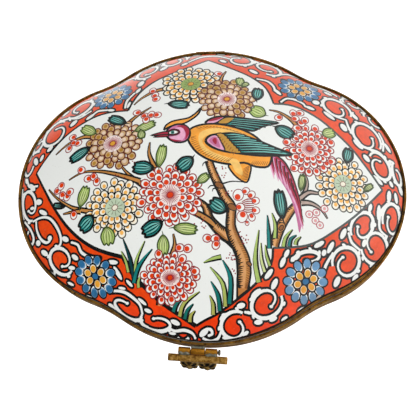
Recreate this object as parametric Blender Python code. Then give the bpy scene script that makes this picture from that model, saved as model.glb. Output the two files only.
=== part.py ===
"""Lobed jewelry box of glazed faience, with a hinged domed lid, brass rim bands and a cast clasp.

Lengths are in metres and +Z is up. The clasp faces -Y, the hinge is at +Y, and the box stands on its
foot ring at Z = 0. Every piece is one closed solid, and touching pieces keep a small fitting gap.
"""

import math

import bmesh
import bpy
from mathutils import Vector

# Plan of the box, at the outer face of the brass bands
HALF_LENGTH = 0.0750
HALF_DEPTH = 0.0595
SIDE_LOBE_RADIUS = 0.0460
LONG_LOBE_RADIUS = 0.0600
NOTCH_RADIUS = 0.0540

# Faience body and lid
BODY_HEIGHT = 0.0450
WALL = 0.0040
FLOOR = 0.0045
FOOT_HEIGHT = 0.0030
FOOT_WIDTH = 0.0040
FOOT_STEP = 0.0010
FOOT_RECESS = 0.0018
TAPER = 0.0140
TAPER_POWER = 2.2
DOME_HEIGHT = 0.0270
DOME_POWER = 0.85
DOME_SINK = 0.0005
LOBE_FADE_POWER = 2.0

# Brass bands: channels that grip the edge of each wall
BAND_HEIGHT = 0.0050
BAND_THICKNESS = 0.0011
BAND_EDGE = 0.0003
INNER_FLANGE = 0.0030

# Gaps: between fitted pieces, and between the two bands when the lid is shut
FIT_GAP = 0.0003
CLOSING_GAP = 0.0003

# Back hinge: small enough to hide under the lid band's edge when the box is seen from above
HINGE_KNUCKLE_RADIUS = 0.0011
HINGE_PIN_RADIUS = 0.0004
HINGE_STAND = 0.00145
HINGE_LENGTH = 0.0120
HINGE_LEAF_HEIGHT = 0.0022
LEAF_THICKNESS = 0.0008

# Clasp barrel, soldered on a few degrees round from the lobes' own axis
CLASP_SKEW = math.radians(-4.15)
KNUCKLE_RADIUS = 0.0014
PIN_RADIUS = 0.0006
CLASP_STAND = 0.0020
CLASP_DROP = 0.0025
LUG_LENGTH = 0.0050
LUG_HEIGHT = 0.0030
OUTER_KNUCKLE_LENGTH = 0.0043
PIN_HEAD_RADIUS = 0.0011
PIN_HEAD_LENGTH = 0.0009

# Clasp drop, from its hinge axis: outward is -Y and down is -Z
CROSSBAR_LENGTH = 0.0218
CROSSBAR_DEPTH = 0.0027
CROSSBAR_HEIGHT = 0.0020
CROSSBAR_OUT = 0.0017
CROSSBAR_DOWN = 0.0012
TONGUE_WIDTH = 0.0060
TONGUE_HEIGHT = 0.0070
TONGUE_OUT = 0.0003
TONGUE_THICKNESS = 0.0010
ORNAMENT_FLARE = math.radians(20.0)
ORNAMENT_OUT = 0.0020
ORNAMENT_THICKNESS = 0.0016
ORNAMENT_LOBE_RADIUS = 0.0036
ORNAMENT_LOBE_SPREAD = 0.0033
ORNAMENT_LOBE_DROP = 0.0073
ORNAMENT_BOSS_HEIGHT = 0.0008
SCALLOPS = 7
SCALLOP_DEPTH = 0.0004
CATCH_RADIUS = 0.0012

# Fineness of the facets
PLAN_STEPS = 64
DOME_STEPS = 9
INNER_DOME_STEPS = 7
WALL_STEPS = 7
INNER_WALL_STEPS = 6
ROUND_STEPS = 16
SCALLOP_POINTS = 4

# Heights that follow from the sizes above
BODY_EDGE_Z = BODY_HEIGHT - BAND_THICKNESS - FIT_GAP
LID_BAND_Z = BODY_HEIGHT + CLOSING_GAP
LID_EDGE_Z = LID_BAND_Z + BAND_THICKNESS + FIT_GAP
LID_BAND_TOP_Z = LID_BAND_Z + BAND_HEIGHT
DOME_BASE_Z = LID_BAND_TOP_Z - DOME_SINK
HINGE_AXIS_Z = BODY_HEIGHT + CLOSING_GAP / 2.0
CLASP_AXIS_Z = LID_BAND_TOP_Z - CLASP_DROP

# Insets from the bands' outer face
SHELL_INSET = BAND_THICKNESS + FIT_GAP
INNER_FLANGE_INSET = SHELL_INSET + WALL + FIT_GAP

# The plan centre stands back from the origin, so that clasp and hinge reach equally far from it
ORNAMENT_LENGTH = ORNAMENT_LOBE_DROP + ORNAMENT_LOBE_RADIUS
ORNAMENT_REACH = (
    ORNAMENT_OUT
    + ORNAMENT_LENGTH * math.sin(ORNAMENT_FLARE)
    + ORNAMENT_THICKNESS * math.cos(ORNAMENT_FLARE)
)
CLASP_REACH = CLASP_STAND + ORNAMENT_REACH
HINGE_REACH = HINGE_STAND + HINGE_KNUCKLE_RADIUS
PLAN_CENTRE_Y = (CLASP_REACH - HINGE_REACH) / 2.0


def clear_scene():
    """Remove whatever the file holds."""
    for old in list(bpy.data.objects):
        bpy.data.objects.remove(old, do_unlink=True)


def make_material(name, colour, roughness, metallic):
    """Return a plain shaded material."""
    material = bpy.data.materials.new(name)
    material.use_nodes = True
    shader = material.node_tree.nodes["Principled BSDF"]
    shader.inputs["Base Color"].default_value = (*colour, 1.0)
    shader.inputs["Roughness"].default_value = roughness
    shader.inputs["Metallic"].default_value = metallic
    return material


def lobe_centres():
    """Return the plan centres of the side lobe, the long lobe and the notch arc between them."""
    side = Vector((HALF_LENGTH - SIDE_LOBE_RADIUS, 0.0))
    end = Vector((0.0, HALF_DEPTH - LONG_LOBE_RADIUS))
    span = end - side
    along = span.normalized()
    outward = Vector((along.y, -along.x))
    side_reach = SIDE_LOBE_RADIUS + NOTCH_RADIUS
    end_reach = LONG_LOBE_RADIUS + NOTCH_RADIUS
    shift = (side_reach**2 - end_reach**2 + span.length_squared) / (2.0 * span.length)
    rise = math.sqrt(max(side_reach**2 - shift**2, 0.0))
    return side, end, side + along * shift + outward * rise


def arc_reach(direction, centre, radius, side):
    """Return the distance from the plan centre to an arc, on its far (1) or near (-1) side."""
    along = direction.dot(centre)
    return along + side * math.sqrt(max(radius**2 - centre.length_squared + along**2, 0.0))


def outline_radius(angle, inset):
    """Return the plan radius of the lobed outline at a polar angle, moved inward by inset."""
    direction = Vector((abs(math.cos(angle)), abs(math.sin(angle))))
    side, end, notch = lobe_centres()
    side_radius = SIDE_LOBE_RADIUS - inset
    end_radius = LONG_LOBE_RADIUS - inset
    side_meet = side + (notch - side).normalized() * side_radius
    end_meet = end + (notch - end).normalized() * end_radius
    bearing = math.atan2(direction.y, direction.x)
    if bearing <= math.atan2(side_meet.y, side_meet.x):
        return arc_reach(direction, side, side_radius, 1)
    if bearing >= math.atan2(end_meet.y, end_meet.x):
        return arc_reach(direction, end, end_radius, 1)
    return arc_reach(direction, notch, NOTCH_RADIUS + inset, -1)


def plan_angles():
    """Return the polar angles at which every ring has its points."""
    return [math.tau * step / PLAN_STEPS for step in range(PLAN_STEPS)]


def plan_point(angle, radius, height):
    """Return a point at a polar angle and radius about the plan centre."""
    return Vector((radius * math.cos(angle), PLAN_CENTRE_Y + radius * math.sin(angle), height))


def outline_ring(inset, height):
    """Return the lobed outline as a ring of points."""
    return [plan_point(angle, outline_radius(angle, inset), height) for angle in plan_angles()]


def dome_ring(inset, share, height):
    """Return a ring that is a share of the outline, turning from lobed at the rim to an ellipse."""
    long_radius = HALF_LENGTH - inset
    short_radius = HALF_DEPTH - inset
    lobed = share**LOBE_FADE_POWER
    ring = []
    for angle in plan_angles():
        across = math.hypot(short_radius * math.cos(angle), long_radius * math.sin(angle))
        ellipse = long_radius * short_radius / across
        radius = share * ((1.0 - lobed) * ellipse + lobed * outline_radius(angle, inset))
        ring.append(plan_point(angle, radius, height))
    return ring


def dome_rings(inset, rise, steps):
    """Return the rings of a dome from its base to just under its top, and the top point."""
    rings = []
    for step in range(steps, 0, -1):
        share = math.sin(math.pi / 2.0 * step / steps)
        height = DOME_BASE_Z + rise * max(1.0 - share**2, 0.0) ** DOME_POWER
        rings.append(dome_ring(inset, share, height))
    return rings, Vector((0.0, PLAN_CENTRE_Y, DOME_BASE_Z + rise))


def body_inset(height):
    """Return how far the outer wall has drawn in at a height."""
    fall = (BODY_EDGE_Z - height) / (BODY_EDGE_Z - FOOT_HEIGHT)
    return SHELL_INSET + TAPER * max(fall, 0.0) ** TAPER_POWER


def add_mesh(name, shape, material, parent=None):
    """Turn a bmesh into a named object, faces outward and shaded smooth between sharp edges."""
    bmesh.ops.recalc_face_normals(shape, faces=shape.faces[:])
    mesh = bpy.data.meshes.new(name)
    shape.to_mesh(mesh)
    shape.free()
    mesh.shade_smooth()
    mesh.set_sharp_from_angle(angle=math.radians(35.0))
    mesh.materials.append(material)
    result = bpy.data.objects.new(name, mesh)
    bpy.context.scene.collection.objects.link(result)
    result.parent = parent
    return result


def loft(rings, start=None, end=None, closed=False):
    """Join rings of points into a skin, with points at its ends, or round on itself."""
    shape = bmesh.new()
    loops = [[shape.verts.new(point) for point in ring] for ring in rings]
    count = len(loops[0])
    pairs = list(zip(loops, loops[1:]))
    if closed:
        pairs.append((loops[-1], loops[0]))
    for lower, upper in pairs:
        for index in range(count):
            after = (index + 1) % count
            shape.faces.new((lower[index], lower[after], upper[after], upper[index]))
    for loop, point in ((loops[0], start), (loops[-1], end)):
        if point is None:
            continue
        tip = shape.verts.new(point)
        for index in range(count):
            shape.faces.new((loop[index], loop[(index + 1) % count], tip))
    return shape


def build_body_shell(material):
    """Hollow lower box: inner floor, inner wall, rim, outer wall, foot ring and recessed underside."""
    floor_z = FOOT_RECESS + FLOOR
    rings = []
    for step in range(INNER_WALL_STEPS + 1):
        height = floor_z + (BODY_EDGE_Z - floor_z) * (step / INNER_WALL_STEPS)
        corner = WALL if step == 0 else 0.0
        rings.append(outline_ring(body_inset(height) + WALL + corner, height))
    for step in range(WALL_STEPS + 1):
        height = BODY_EDGE_Z + (FOOT_HEIGHT - BODY_EDGE_Z) * (step / WALL_STEPS)
        rings.append(outline_ring(body_inset(height), height))
    foot_inset = body_inset(FOOT_HEIGHT) + FOOT_STEP
    rings.append(outline_ring(foot_inset, FOOT_HEIGHT))
    rings.append(outline_ring(foot_inset, 0.0))
    rings.append(outline_ring(foot_inset + FOOT_WIDTH, 0.0))
    rings.append(outline_ring(foot_inset + FOOT_WIDTH, FOOT_RECESS))
    inside = Vector((0.0, PLAN_CENTRE_Y, floor_z))
    underside = Vector((0.0, PLAN_CENTRE_Y, FOOT_RECESS))
    return add_mesh("body_shell", loft(rings, inside, underside), material)


def build_lid_shell(material):
    """Hollow domed lid: outer dome, edge that sits in the band, inner dome."""
    outer, top = dome_rings(SHELL_INSET, DOME_HEIGHT, DOME_STEPS)
    inner, ceiling = dome_rings(SHELL_INSET + WALL, DOME_HEIGHT - WALL, INNER_DOME_STEPS)
    rings = list(reversed(outer))
    rings.append(outline_ring(SHELL_INSET, LID_EDGE_Z))
    rings.append(outline_ring(SHELL_INSET + WALL, LID_EDGE_Z))
    rings.extend(inner)
    return add_mesh("lid_shell", loft(rings, top, ceiling), material)


def build_band(name, face_z, way, material):
    """Brass channel on the edge of a wall, from its closing face away from it (way is 1 or -1)."""
    deep = INNER_FLANGE_INSET + BAND_THICKNESS
    section = (
        (BAND_EDGE, 0.0),
        (0.0, BAND_EDGE),
        (0.0, BAND_HEIGHT - BAND_EDGE),
        (BAND_EDGE, BAND_HEIGHT),
        (BAND_THICKNESS, BAND_HEIGHT),
        (BAND_THICKNESS, BAND_THICKNESS),
        (INNER_FLANGE_INSET, BAND_THICKNESS),
        (INNER_FLANGE_INSET, INNER_FLANGE),
        (deep, INNER_FLANGE),
        (deep, 0.0),
    )
    rings = [outline_ring(inset, face_z + way * distance) for inset, distance in section]
    return add_mesh(name, loft(rings, closed=True), material)


def add_axis_empty(name, side, stand, height, skew=0.0):
    """Return an empty on a barrel's axis, on the front (-1) or back (1) lobe, local -Y to the front."""
    lobe_y = side * (HALF_DEPTH - LONG_LOBE_RADIUS)
    reach = side * (LONG_LOBE_RADIUS + stand)
    empty = bpy.data.objects.new(name, None)
    empty.location = (
        -reach * math.sin(skew),
        PLAN_CENTRE_Y + lobe_y + reach * math.cos(skew),
        height,
    )
    empty.rotation_euler = (0.0, 0.0, skew)
    bpy.context.scene.collection.objects.link(empty)
    return empty


def box_shape(low, high):
    """Return a box between two corners."""
    shape = bmesh.new()
    bmesh.ops.create_cube(shape, size=1.0)
    low, high = Vector(low), Vector(high)
    bmesh.ops.scale(shape, vec=high - low, verts=shape.verts)
    bmesh.ops.translate(shape, vec=(low + high) / 2.0, verts=shape.verts)
    return shape


def rod_shape(start_x, end_x, radius, end_radius=None):
    """Return a round rod along X."""
    shape = bmesh.new()
    rings = []
    for x, size in ((start_x, radius), (end_x, radius if end_radius is None else end_radius)):
        turns = [math.tau * step / ROUND_STEPS for step in range(ROUND_STEPS)]
        rings.append([shape.verts.new((x, size * math.cos(t), size * math.sin(t))) for t in turns])
    for index in range(ROUND_STEPS):
        after = (index + 1) % ROUND_STEPS
        shape.faces.new((rings[0][index], rings[0][after], rings[1][after], rings[1][index]))
    shape.faces.new(rings[0])
    shape.faces.new(rings[1])
    return shape


def bent_leaf_shape(start_x, end_x, low_z, high_z, side, stand):
    """Return a leaf that follows the band's face, between two heights from the barrel's axis."""
    steps = 4
    shape = bmesh.new()
    near = LONG_LOBE_RADIUS + FIT_GAP
    columns = []
    for step in range(steps + 1):
        x = start_x + (end_x - start_x) * step / steps
        column = []
        for radius in (near, near + LEAF_THICKNESS):
            y = side * (math.sqrt(radius**2 - x**2) - LONG_LOBE_RADIUS - stand)
            column.append(shape.verts.new((x, y, low_z)))
            column.append(shape.verts.new((x, y, high_z)))
        columns.append(column)
    order = (0, 1, 3, 2)
    for left, right in zip(columns, columns[1:]):
        for here, there in zip(order, order[1:] + order[:1]):
            shape.faces.new((left[here], left[there], right[there], right[here]))
    for column in (columns[0], columns[-1]):
        shape.faces.new([column[index] for index in order])
    return shape


def apply_tool(target, name, shape, material, operation, parent):
    """Join or cut a target with a hidden tool object."""
    tool = add_mesh(name, shape, material, parent)
    tool.hide_render = True
    tool.display_type = "WIRE"
    modifier = target.modifiers.new(name, "BOOLEAN")
    modifier.operation = operation
    modifier.object = tool
    return tool


def cut_bore(target, start_x, end_x, pin_radius, material, parent):
    """Cut the pin's running hole through a knuckle or a row of knuckles."""
    bore = rod_shape(start_x - KNUCKLE_RADIUS, end_x + KNUCKLE_RADIUS, pin_radius + FIT_GAP)
    apply_tool(target, "bore_of_" + target.name, bore, material, "DIFFERENCE", parent)


def build_hinge(material, axis):
    """Back hinge: two knuckles on the body band, one on the lid band, and their pin."""
    pitch = HINGE_LENGTH / 3.0
    spans = {
        "hinge_knuckle_left": (-HINGE_LENGTH / 2.0, -pitch / 2.0 - FIT_GAP, -1),
        "hinge_lid_knuckle": (-pitch / 2.0, pitch / 2.0, 1),
        "hinge_knuckle_right": (pitch / 2.0 + FIT_GAP, HINGE_LENGTH / 2.0, -1),
    }
    for name, (start_x, end_x, way) in spans.items():
        knuckle = add_mesh(name, rod_shape(start_x, end_x, HINGE_KNUCKLE_RADIUS), material, axis)
        heights = sorted((way * FIT_GAP * 1.5, way * HINGE_LEAF_HEIGHT))
        leaf = bent_leaf_shape(start_x, end_x, heights[0], heights[1], 1, HINGE_STAND)
        apply_tool(knuckle, "leaf_of_" + name, leaf, material, "UNION", axis)
        cut_bore(knuckle, start_x, end_x, HINGE_PIN_RADIUS, material, axis)
    half = HINGE_LENGTH / 2.0
    add_mesh("hinge_pin", rod_shape(-half, half, HINGE_PIN_RADIUS), material, axis)


def build_lug(material, axis):
    """Middle knuckle of the clasp, with the plate that is soldered to the lid band."""
    half = LUG_LENGTH / 2.0
    lug = add_mesh("clasp_lug", rod_shape(-half, half, KNUCKLE_RADIUS), material, axis)
    half_height = LUG_HEIGHT / 2.0
    leaf = bent_leaf_shape(-half, half, -half_height, half_height, -1, CLASP_STAND)
    apply_tool(lug, "leaf_of_clasp_lug", leaf, material, "UNION", axis)
    cut_bore(lug, -half, half, PIN_RADIUS, material, axis)


def scalloped_disc(centre_x):
    """Return one lobe of the ornament: a disc with a scalloped edge and a raised boss."""
    shape = bmesh.new()
    count = SCALLOPS * SCALLOP_POINTS
    rings = []
    levels = (
        (0.0, 1.0),
        (ORNAMENT_THICKNESS - SCALLOP_DEPTH, 1.0),
        (ORNAMENT_THICKNESS, 0.82),
        (ORNAMENT_THICKNESS, 0.55),
        (ORNAMENT_THICKNESS + ORNAMENT_BOSS_HEIGHT, 0.25),
    )
    for out, share in levels:
        ring = []
        for index in range(count):
            turn = math.tau * index / count
            wave = SCALLOP_DEPTH * (0.5 - 0.5 * math.cos(SCALLOPS * turn))
            radius = (ORNAMENT_LOBE_RADIUS - wave) * share
            x = centre_x + radius * math.sin(turn)
            z = -ORNAMENT_LOBE_DROP - radius * math.cos(turn)
            ring.append(shape.verts.new((x, -out, z)))
        rings.append(ring)
    for lower, upper in zip(rings, rings[1:]):
        for index in range(count):
            after = (index + 1) % count
            shape.faces.new((lower[index], lower[after], upper[after], upper[index]))
    shape.faces.new(rings[0])
    shape.faces.new(rings[-1])
    return shape


def flared(shape):
    """Turn a piece of the ornament so that its lower end stands out, and hang it on the crossbar."""
    for vertex in shape.verts:
        x, y, z = vertex.co
        vertex.co = (
            x,
            y * math.cos(ORNAMENT_FLARE) + z * math.sin(ORNAMENT_FLARE) - ORNAMENT_OUT,
            z * math.cos(ORNAMENT_FLARE) - y * math.sin(ORNAMENT_FLARE) - CROSSBAR_DOWN,
        )
    return shape


def build_hasp(material, axis):
    """Cast drop of the clasp: two knuckles, crossbar, snap tongue and two-lobed ornament."""
    inner = LUG_LENGTH / 2.0 + FIT_GAP
    outer = inner + OUTER_KNUCKLE_LENGTH
    bar_back = -CROSSBAR_OUT
    bar_front = bar_back - CROSSBAR_DEPTH
    bar_top = -CROSSBAR_DOWN
    bar_bottom = bar_top - CROSSBAR_HEIGHT
    half_bar = CROSSBAR_LENGTH / 2.0
    half_tongue = TONGUE_WIDTH / 2.0
    below_lug = -KNUCKLE_RADIUS - FIT_GAP
    tongue_front = -TONGUE_OUT - TONGUE_THICKNESS
    web_top = -KNUCKLE_RADIUS * 0.6
    web_front = bar_back - FIT_GAP
    hasp = add_mesh("clasp_hasp", rod_shape(-outer, -inner, KNUCKLE_RADIUS), material, axis)
    pieces = {
        "right_knuckle": rod_shape(inner, outer, KNUCKLE_RADIUS),
        "left_web": box_shape((-outer, web_front, bar_bottom), (-inner, KNUCKLE_RADIUS * 0.1, web_top)),
        "right_web": box_shape((inner, web_front, bar_bottom), (outer, KNUCKLE_RADIUS * 0.1, web_top)),
        "crossbar": box_shape((-half_bar, bar_front, bar_bottom), (half_bar, bar_back, bar_top)),
        "bridge": box_shape(
            (-half_tongue, web_front, bar_bottom), (half_tongue, -TONGUE_OUT, below_lug)
        ),
        "tongue": box_shape(
            (-half_tongue, tongue_front, -TONGUE_HEIGHT), (half_tongue, -TONGUE_OUT, below_lug)
        ),
        "neck": flared(
            box_shape(
                (-ORNAMENT_LOBE_SPREAD, -ORNAMENT_THICKNESS * 0.8, -ORNAMENT_LOBE_DROP),
                (ORNAMENT_LOBE_SPREAD, -ORNAMENT_THICKNESS * 0.1, -FIT_GAP),
            )
        ),
        "left_lobe": flared(scalloped_disc(-ORNAMENT_LOBE_SPREAD)),
        "right_lobe": flared(scalloped_disc(ORNAMENT_LOBE_SPREAD)),
    }
    for name, shape in pieces.items():
        apply_tool(hasp, "hasp_" + name, shape, material, "UNION", axis)
    cut_bore(hasp, -outer, outer, PIN_RADIUS, material, axis)


def build_clasp_pin(material, axis):
    """Pin of the clasp, with its domed head at the right end."""
    half = LUG_LENGTH / 2.0 + FIT_GAP + OUTER_KNUCKLE_LENGTH
    shank_end = half + FIT_GAP
    pin = add_mesh("clasp_pin", rod_shape(-half, shank_end, PIN_RADIUS), material, axis)
    head = rod_shape(shank_end, shank_end + PIN_HEAD_LENGTH, PIN_HEAD_RADIUS, PIN_HEAD_RADIUS * 0.7)
    apply_tool(pin, "head_of_clasp_pin", head, material, "UNION", axis)


def build_catch(material, axis):
    """Stud on the body band that the clasp's tongue snaps over, pointing to the front."""
    shape = bmesh.new()
    height = BODY_HEIGHT - BAND_HEIGHT / 2.0 - CLASP_AXIS_Z
    near = CLASP_STAND - FIT_GAP
    far = -TONGUE_OUT + FIT_GAP
    levels = ((near, 1.0), ((near + far) / 2.0, 1.0), (far, 0.5))
    rings = []
    for y, share in levels:
        ring = []
        for step in range(ROUND_STEPS):
            turn = math.tau * step / ROUND_STEPS
            x = CATCH_RADIUS * share * math.cos(turn)
            z = height + CATCH_RADIUS * share * math.sin(turn)
            ring.append(shape.verts.new((x, y, z)))
        rings.append(ring)
    for lower, upper in zip(rings, rings[1:]):
        for index in range(ROUND_STEPS):
            after = (index + 1) % ROUND_STEPS
            shape.faces.new((lower[index], lower[after], upper[after], upper[index]))
    shape.faces.new(rings[0])
    shape.faces.new(rings[-1])
    add_mesh("clasp_catch", shape, material, axis)


def build_box():
    """Build every piece of the box."""
    clear_scene()
    glaze = make_material("painted faience glaze", (0.83, 0.85, 0.82), 0.12, 0.0)
    brass = make_material("aged brass", (0.45, 0.26, 0.08), 0.38, 1.0)
    build_body_shell(glaze)
    build_band("body_mount", BODY_HEIGHT, -1, brass)
    build_lid_shell(glaze)
    build_band("lid_mount", LID_BAND_Z, 1, brass)
    hinge_axis = add_axis_empty("hinge_axis", 1, HINGE_STAND, HINGE_AXIS_Z)
    clasp_axis = add_axis_empty("clasp_axis", -1, CLASP_STAND, CLASP_AXIS_Z, CLASP_SKEW)
    build_hinge(brass, hinge_axis)
    build_lug(brass, clasp_axis)
    build_hasp(brass, clasp_axis)
    build_clasp_pin(brass, clasp_axis)
    build_catch(brass, clasp_axis)


build_box()
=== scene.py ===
import math
import random

import bmesh
import bpy
import numpy as np
from mathutils import Matrix, Vector
from mathutils.geometry import delaunay_2d_cdt


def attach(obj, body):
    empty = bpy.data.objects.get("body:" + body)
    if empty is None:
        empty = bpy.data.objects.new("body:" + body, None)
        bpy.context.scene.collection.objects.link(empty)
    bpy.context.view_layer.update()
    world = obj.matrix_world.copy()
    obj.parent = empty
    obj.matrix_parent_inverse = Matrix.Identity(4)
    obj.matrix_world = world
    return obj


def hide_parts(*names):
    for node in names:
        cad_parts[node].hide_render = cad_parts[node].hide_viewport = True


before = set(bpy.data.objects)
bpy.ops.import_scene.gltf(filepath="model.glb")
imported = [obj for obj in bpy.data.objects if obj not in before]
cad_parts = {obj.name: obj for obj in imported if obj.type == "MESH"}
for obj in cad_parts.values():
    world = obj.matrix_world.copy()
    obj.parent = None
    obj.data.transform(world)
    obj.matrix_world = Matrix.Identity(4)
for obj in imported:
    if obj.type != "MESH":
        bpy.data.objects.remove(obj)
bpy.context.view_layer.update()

# Faience lower box, body_shell: a lobed bowl pressed in a mould and hollow, dipped in opaque white tin glaze,
# painted with enamels on its outer wall and fired again. It stands on a ring wiped bare of glaze.
# Sizes are millimetres, as in the part's source, and the plan is measured from the middle of the lobes.
MM = 0.001
HALF_LENGTH, HALF_DEPTH = 75.0, 59.5
SIDE_LOBE, LONG_LOBE, NOTCH = 46.0, 60.0, 54.0
PLAN_CENTRE_Y = 3.3408
SHELL_INSET, WALL = 1.15, 4.0
BODY_EDGE_Z, FLOOR_Z, FOOT_TOP_Z, FOOT_RECESS_Z = 43.6, 6.3, 3.0, 1.8
TAPER, TAPER_POWER = 14.0, 2.2
FOOT_STEP, FOOT_WIDTH = 1.0, 4.0

# The enamels, as a painter of such ware knows them, in sRGB
ENAMELS = {
    "bare_glaze": "#EDEFEB",
    "scroll_white": "#EEEFEB",
    "iron_red": "#EC4808",
    "berry": "#DE3A00",
    "crimson_line": "#8E2029",
    "brown_line": "#74302A",
    "black_line": "#0C1110",
    # the panel's black line greyed by painted sheen, on its right sides
    "sheen_grey_line": "#414A48",
    # grime: the chips' dark spots, and the painted shade in the gap between glaze and brass
    "grime": "#1A130D",
    "worn_glaze": "#C6BDB0",
    "maroon_line": "#62261E",
    "stamen": "#A83A42",
    "lapped_brass": "#C4933F",
    "cobalt": "#2A6C9C",
    "pale_cobalt": "#6796BE",
    "ochre": "#E3A135",
    "cream": "#F8F0DC",
    "apricot": "#F6B65A",
    "sage": "#93AB5E",
    "pale_sage": "#C0D0B4",
    "tan": "#CFA877",
    "tan_gold": "#B3832F",
    "shell_pink": "#E8CFB8",
    "rose_white": "#F5E6E2",
    # red and rose of the buds at the right, paled by painted sheen
    "sheen_paled_red": "#BC5B66",
    "sheen_paled_rose": "#E2A3A4",
    "teal": "#127C78",
    "deep_teal": "#0B3F42",
    "light_teal": "#74BDB4",
    "leaf": "#A9C268",
    "pale_leaf": "#CEDB96",
    "leaf_line": "#3E5026",
    "bark": "#C48644",
    "pale_bark": "#DBA066",
    "bark_shade": "#8E5828",
    # bark of the twigs at the right, paled and greyed by painted sheen
    "sheen_paled_bark": "#B9A296",
    "plumage": "#F4A136",
    "pale_plumage": "#F9C76C",
    "plumage_shade": "#9A5C1C",
    "wing_gold": "#C08F36",
    "rose": "#C56E9A",
    "pale_rose": "#E6A8C6",
    "crimson": "#A51D3A",
    "crimson_dark": "#4A1020",
    "eye_teal": "#2F8378",
}
BARE = ("bare_glaze", "scroll_white")


def linear(code):
    """Return the linear colour of an sRGB hex value."""
    values = [int(code[start:start + 2], 16) / 255.0 for start in (1, 3, 5)]
    return [v / 12.92 if v <= 0.04045 else ((v + 0.055) / 1.055) ** 2.4 for v in values] + [1.0]


def outline_radius(bearings, inset):
    """Return the plan radius of the lobed outline at bearings in radians, moved inward by inset."""
    ways = np.abs(np.array((np.cos(bearings), np.sin(bearings))))
    side, end = Vector((HALF_LENGTH - SIDE_LOBE, 0.0)), Vector((0.0, HALF_DEPTH - LONG_LOBE))
    along = (end - side).normalized()
    gap = (end - side).length
    side_reach, end_reach = SIDE_LOBE + NOTCH, LONG_LOBE + NOTCH
    shift = (side_reach**2 - end_reach**2 + gap**2) / (2.0 * gap)
    notch = side + along * shift + Vector((along.y, -along.x)) * math.sqrt(side_reach**2 - shift**2)

    def reach(centre, radius, way):
        dot = ways[0] * centre.x + ways[1] * centre.y
        return dot + way * np.sqrt(np.maximum(radius**2 - centre.length_squared + dot**2, 0.0))

    def meeting(centre, radius):
        line = (notch - centre).normalized()
        return np.arctan2(centre.y + line.y * radius, centre.x + line.x * radius)

    bearing = np.arctan2(ways[1], ways[0])
    on_side = bearing <= meeting(side, SIDE_LOBE - inset)
    on_end = bearing >= meeting(end, LONG_LOBE - inset)
    notched = reach(notch, NOTCH + inset, -1)
    lobed = np.where(on_end, reach(end, LONG_LOBE - inset, 1), notched)
    return np.where(on_side, reach(side, SIDE_LOBE - inset, 1), lobed)


def plan_points(bearings, radii, heights):
    """Return points in metres at bearings and radii in the plan and at heights."""
    bearings, radii, heights = np.broadcast_arrays(bearings, radii, heights)
    x = radii * np.cos(bearings)
    y = PLAN_CENTRE_Y + radii * np.sin(bearings)
    return np.stack((x, y, heights), axis=-1) * MM


def add_node(tree, kind, settings=None, links=None):
    """Add a node, set its properties, and set or link each of its inputs."""
    made = tree.nodes.new(kind)
    for name, value in (settings or {}).items():
        setattr(made, name, value)
    for name, value in (links or {}).items():
        if isinstance(value, bpy.types.NodeSocket):
            tree.links.new(value, made.inputs[name])
        else:
            made.inputs[name].default_value = value
    return made


def new_material(name):
    """Return a new material, its node tree, its shader and its object coordinates."""
    material = bpy.data.materials.new(name)
    material.use_nodes = True
    tree = material.node_tree
    place = add_node(tree, "ShaderNodeTexCoord").outputs["Object"]
    return material, tree, tree.nodes["Principled BSDF"], place


# The mixing node has three sets of sockets: these are the ones for colours
MIX_A, MIX_B, MIX_OUT = 6, 7, 2


def patchy(tree, pattern, low, high, first, second, most=1.0):
    """Return a colour that turns from first to second, at most so far, as a pattern goes from low to high."""
    share = add_node(tree, "ShaderNodeMapRange", links={
        "Value": pattern, "From Min": low, "From Max": high, "To Max": most})
    mixed = add_node(tree, "ShaderNodeMix", {"data_type": "RGBA"}, {
        0: share.outputs[0], MIX_A: first, MIX_B: second})
    return mixed.outputs[MIX_OUT]


# Painted faience glaze: a glassy tin glaze, milk-white and full of gloss, with enamels melted into it. The
# enamels pool and thin in brush-wide patches of a few millimetres, and the glaze ripples very slightly.
painted_glaze, tree, shader, place = new_material("painted_tin_glaze")
enamel = add_node(tree, "ShaderNodeAttribute", {"attribute_name": "enamel"})
wash = add_node(tree, "ShaderNodeTexNoise", links={"Vector": place, "Scale": 1 / (9 * MM), "Detail": 3.0})
pooling = add_node(tree, "ShaderNodeTexNoise", links={"Vector": place, "Scale": 1 / (1.6 * MM),
                                                      "Detail": 4.0})
washed = add_node(tree, "ShaderNodeMapRange", links={
    "Value": wash.outputs[0], "From Min": 0.3, "From Max": 0.7, "To Min": 0.90, "To Max": 1.06})
pooled = add_node(tree, "ShaderNodeMapRange", links={
    "Value": pooling.outputs[0], "From Min": 0.3, "From Max": 0.7, "To Min": 0.88, "To Max": 1.08})
depth = add_node(tree, "ShaderNodeMath", {"operation": "MULTIPLY"},
                 {0: washed.outputs[0], 1: pooled.outputs[0]})
deepened = add_node(tree, "ShaderNodeMix", {"data_type": "RGBA", "blend_type": "MULTIPLY"}, {
    0: enamel.outputs["Alpha"], MIX_A: enamel.outputs["Color"], MIX_B: depth.outputs[0]})

# Painted shade: towards the front the enamels, the reds most, are deepened, for the shade where the glaze
# turns away from the light
across = add_node(tree, "ShaderNodeSeparateXYZ", links={"Vector": place})
fronted = add_node(tree, "ShaderNodeMapRange", links={
    "Value": across.outputs["Y"], "From Min": -34 * MM, "From Max": -54 * MM})
front_shade = add_node(tree, "ShaderNodeMath", {"operation": "MULTIPLY"}, {
    0: fronted.outputs[0], 1: enamel.outputs["Alpha"]})
deepened = add_node(tree, "ShaderNodeMix", {"data_type": "RGBA", "blend_type": "MULTIPLY"}, {
    0: front_shade.outputs[0], MIX_A: deepened.outputs[MIX_OUT], MIX_B: (1.06, 0.60, 0.42, 1.0)})

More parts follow.
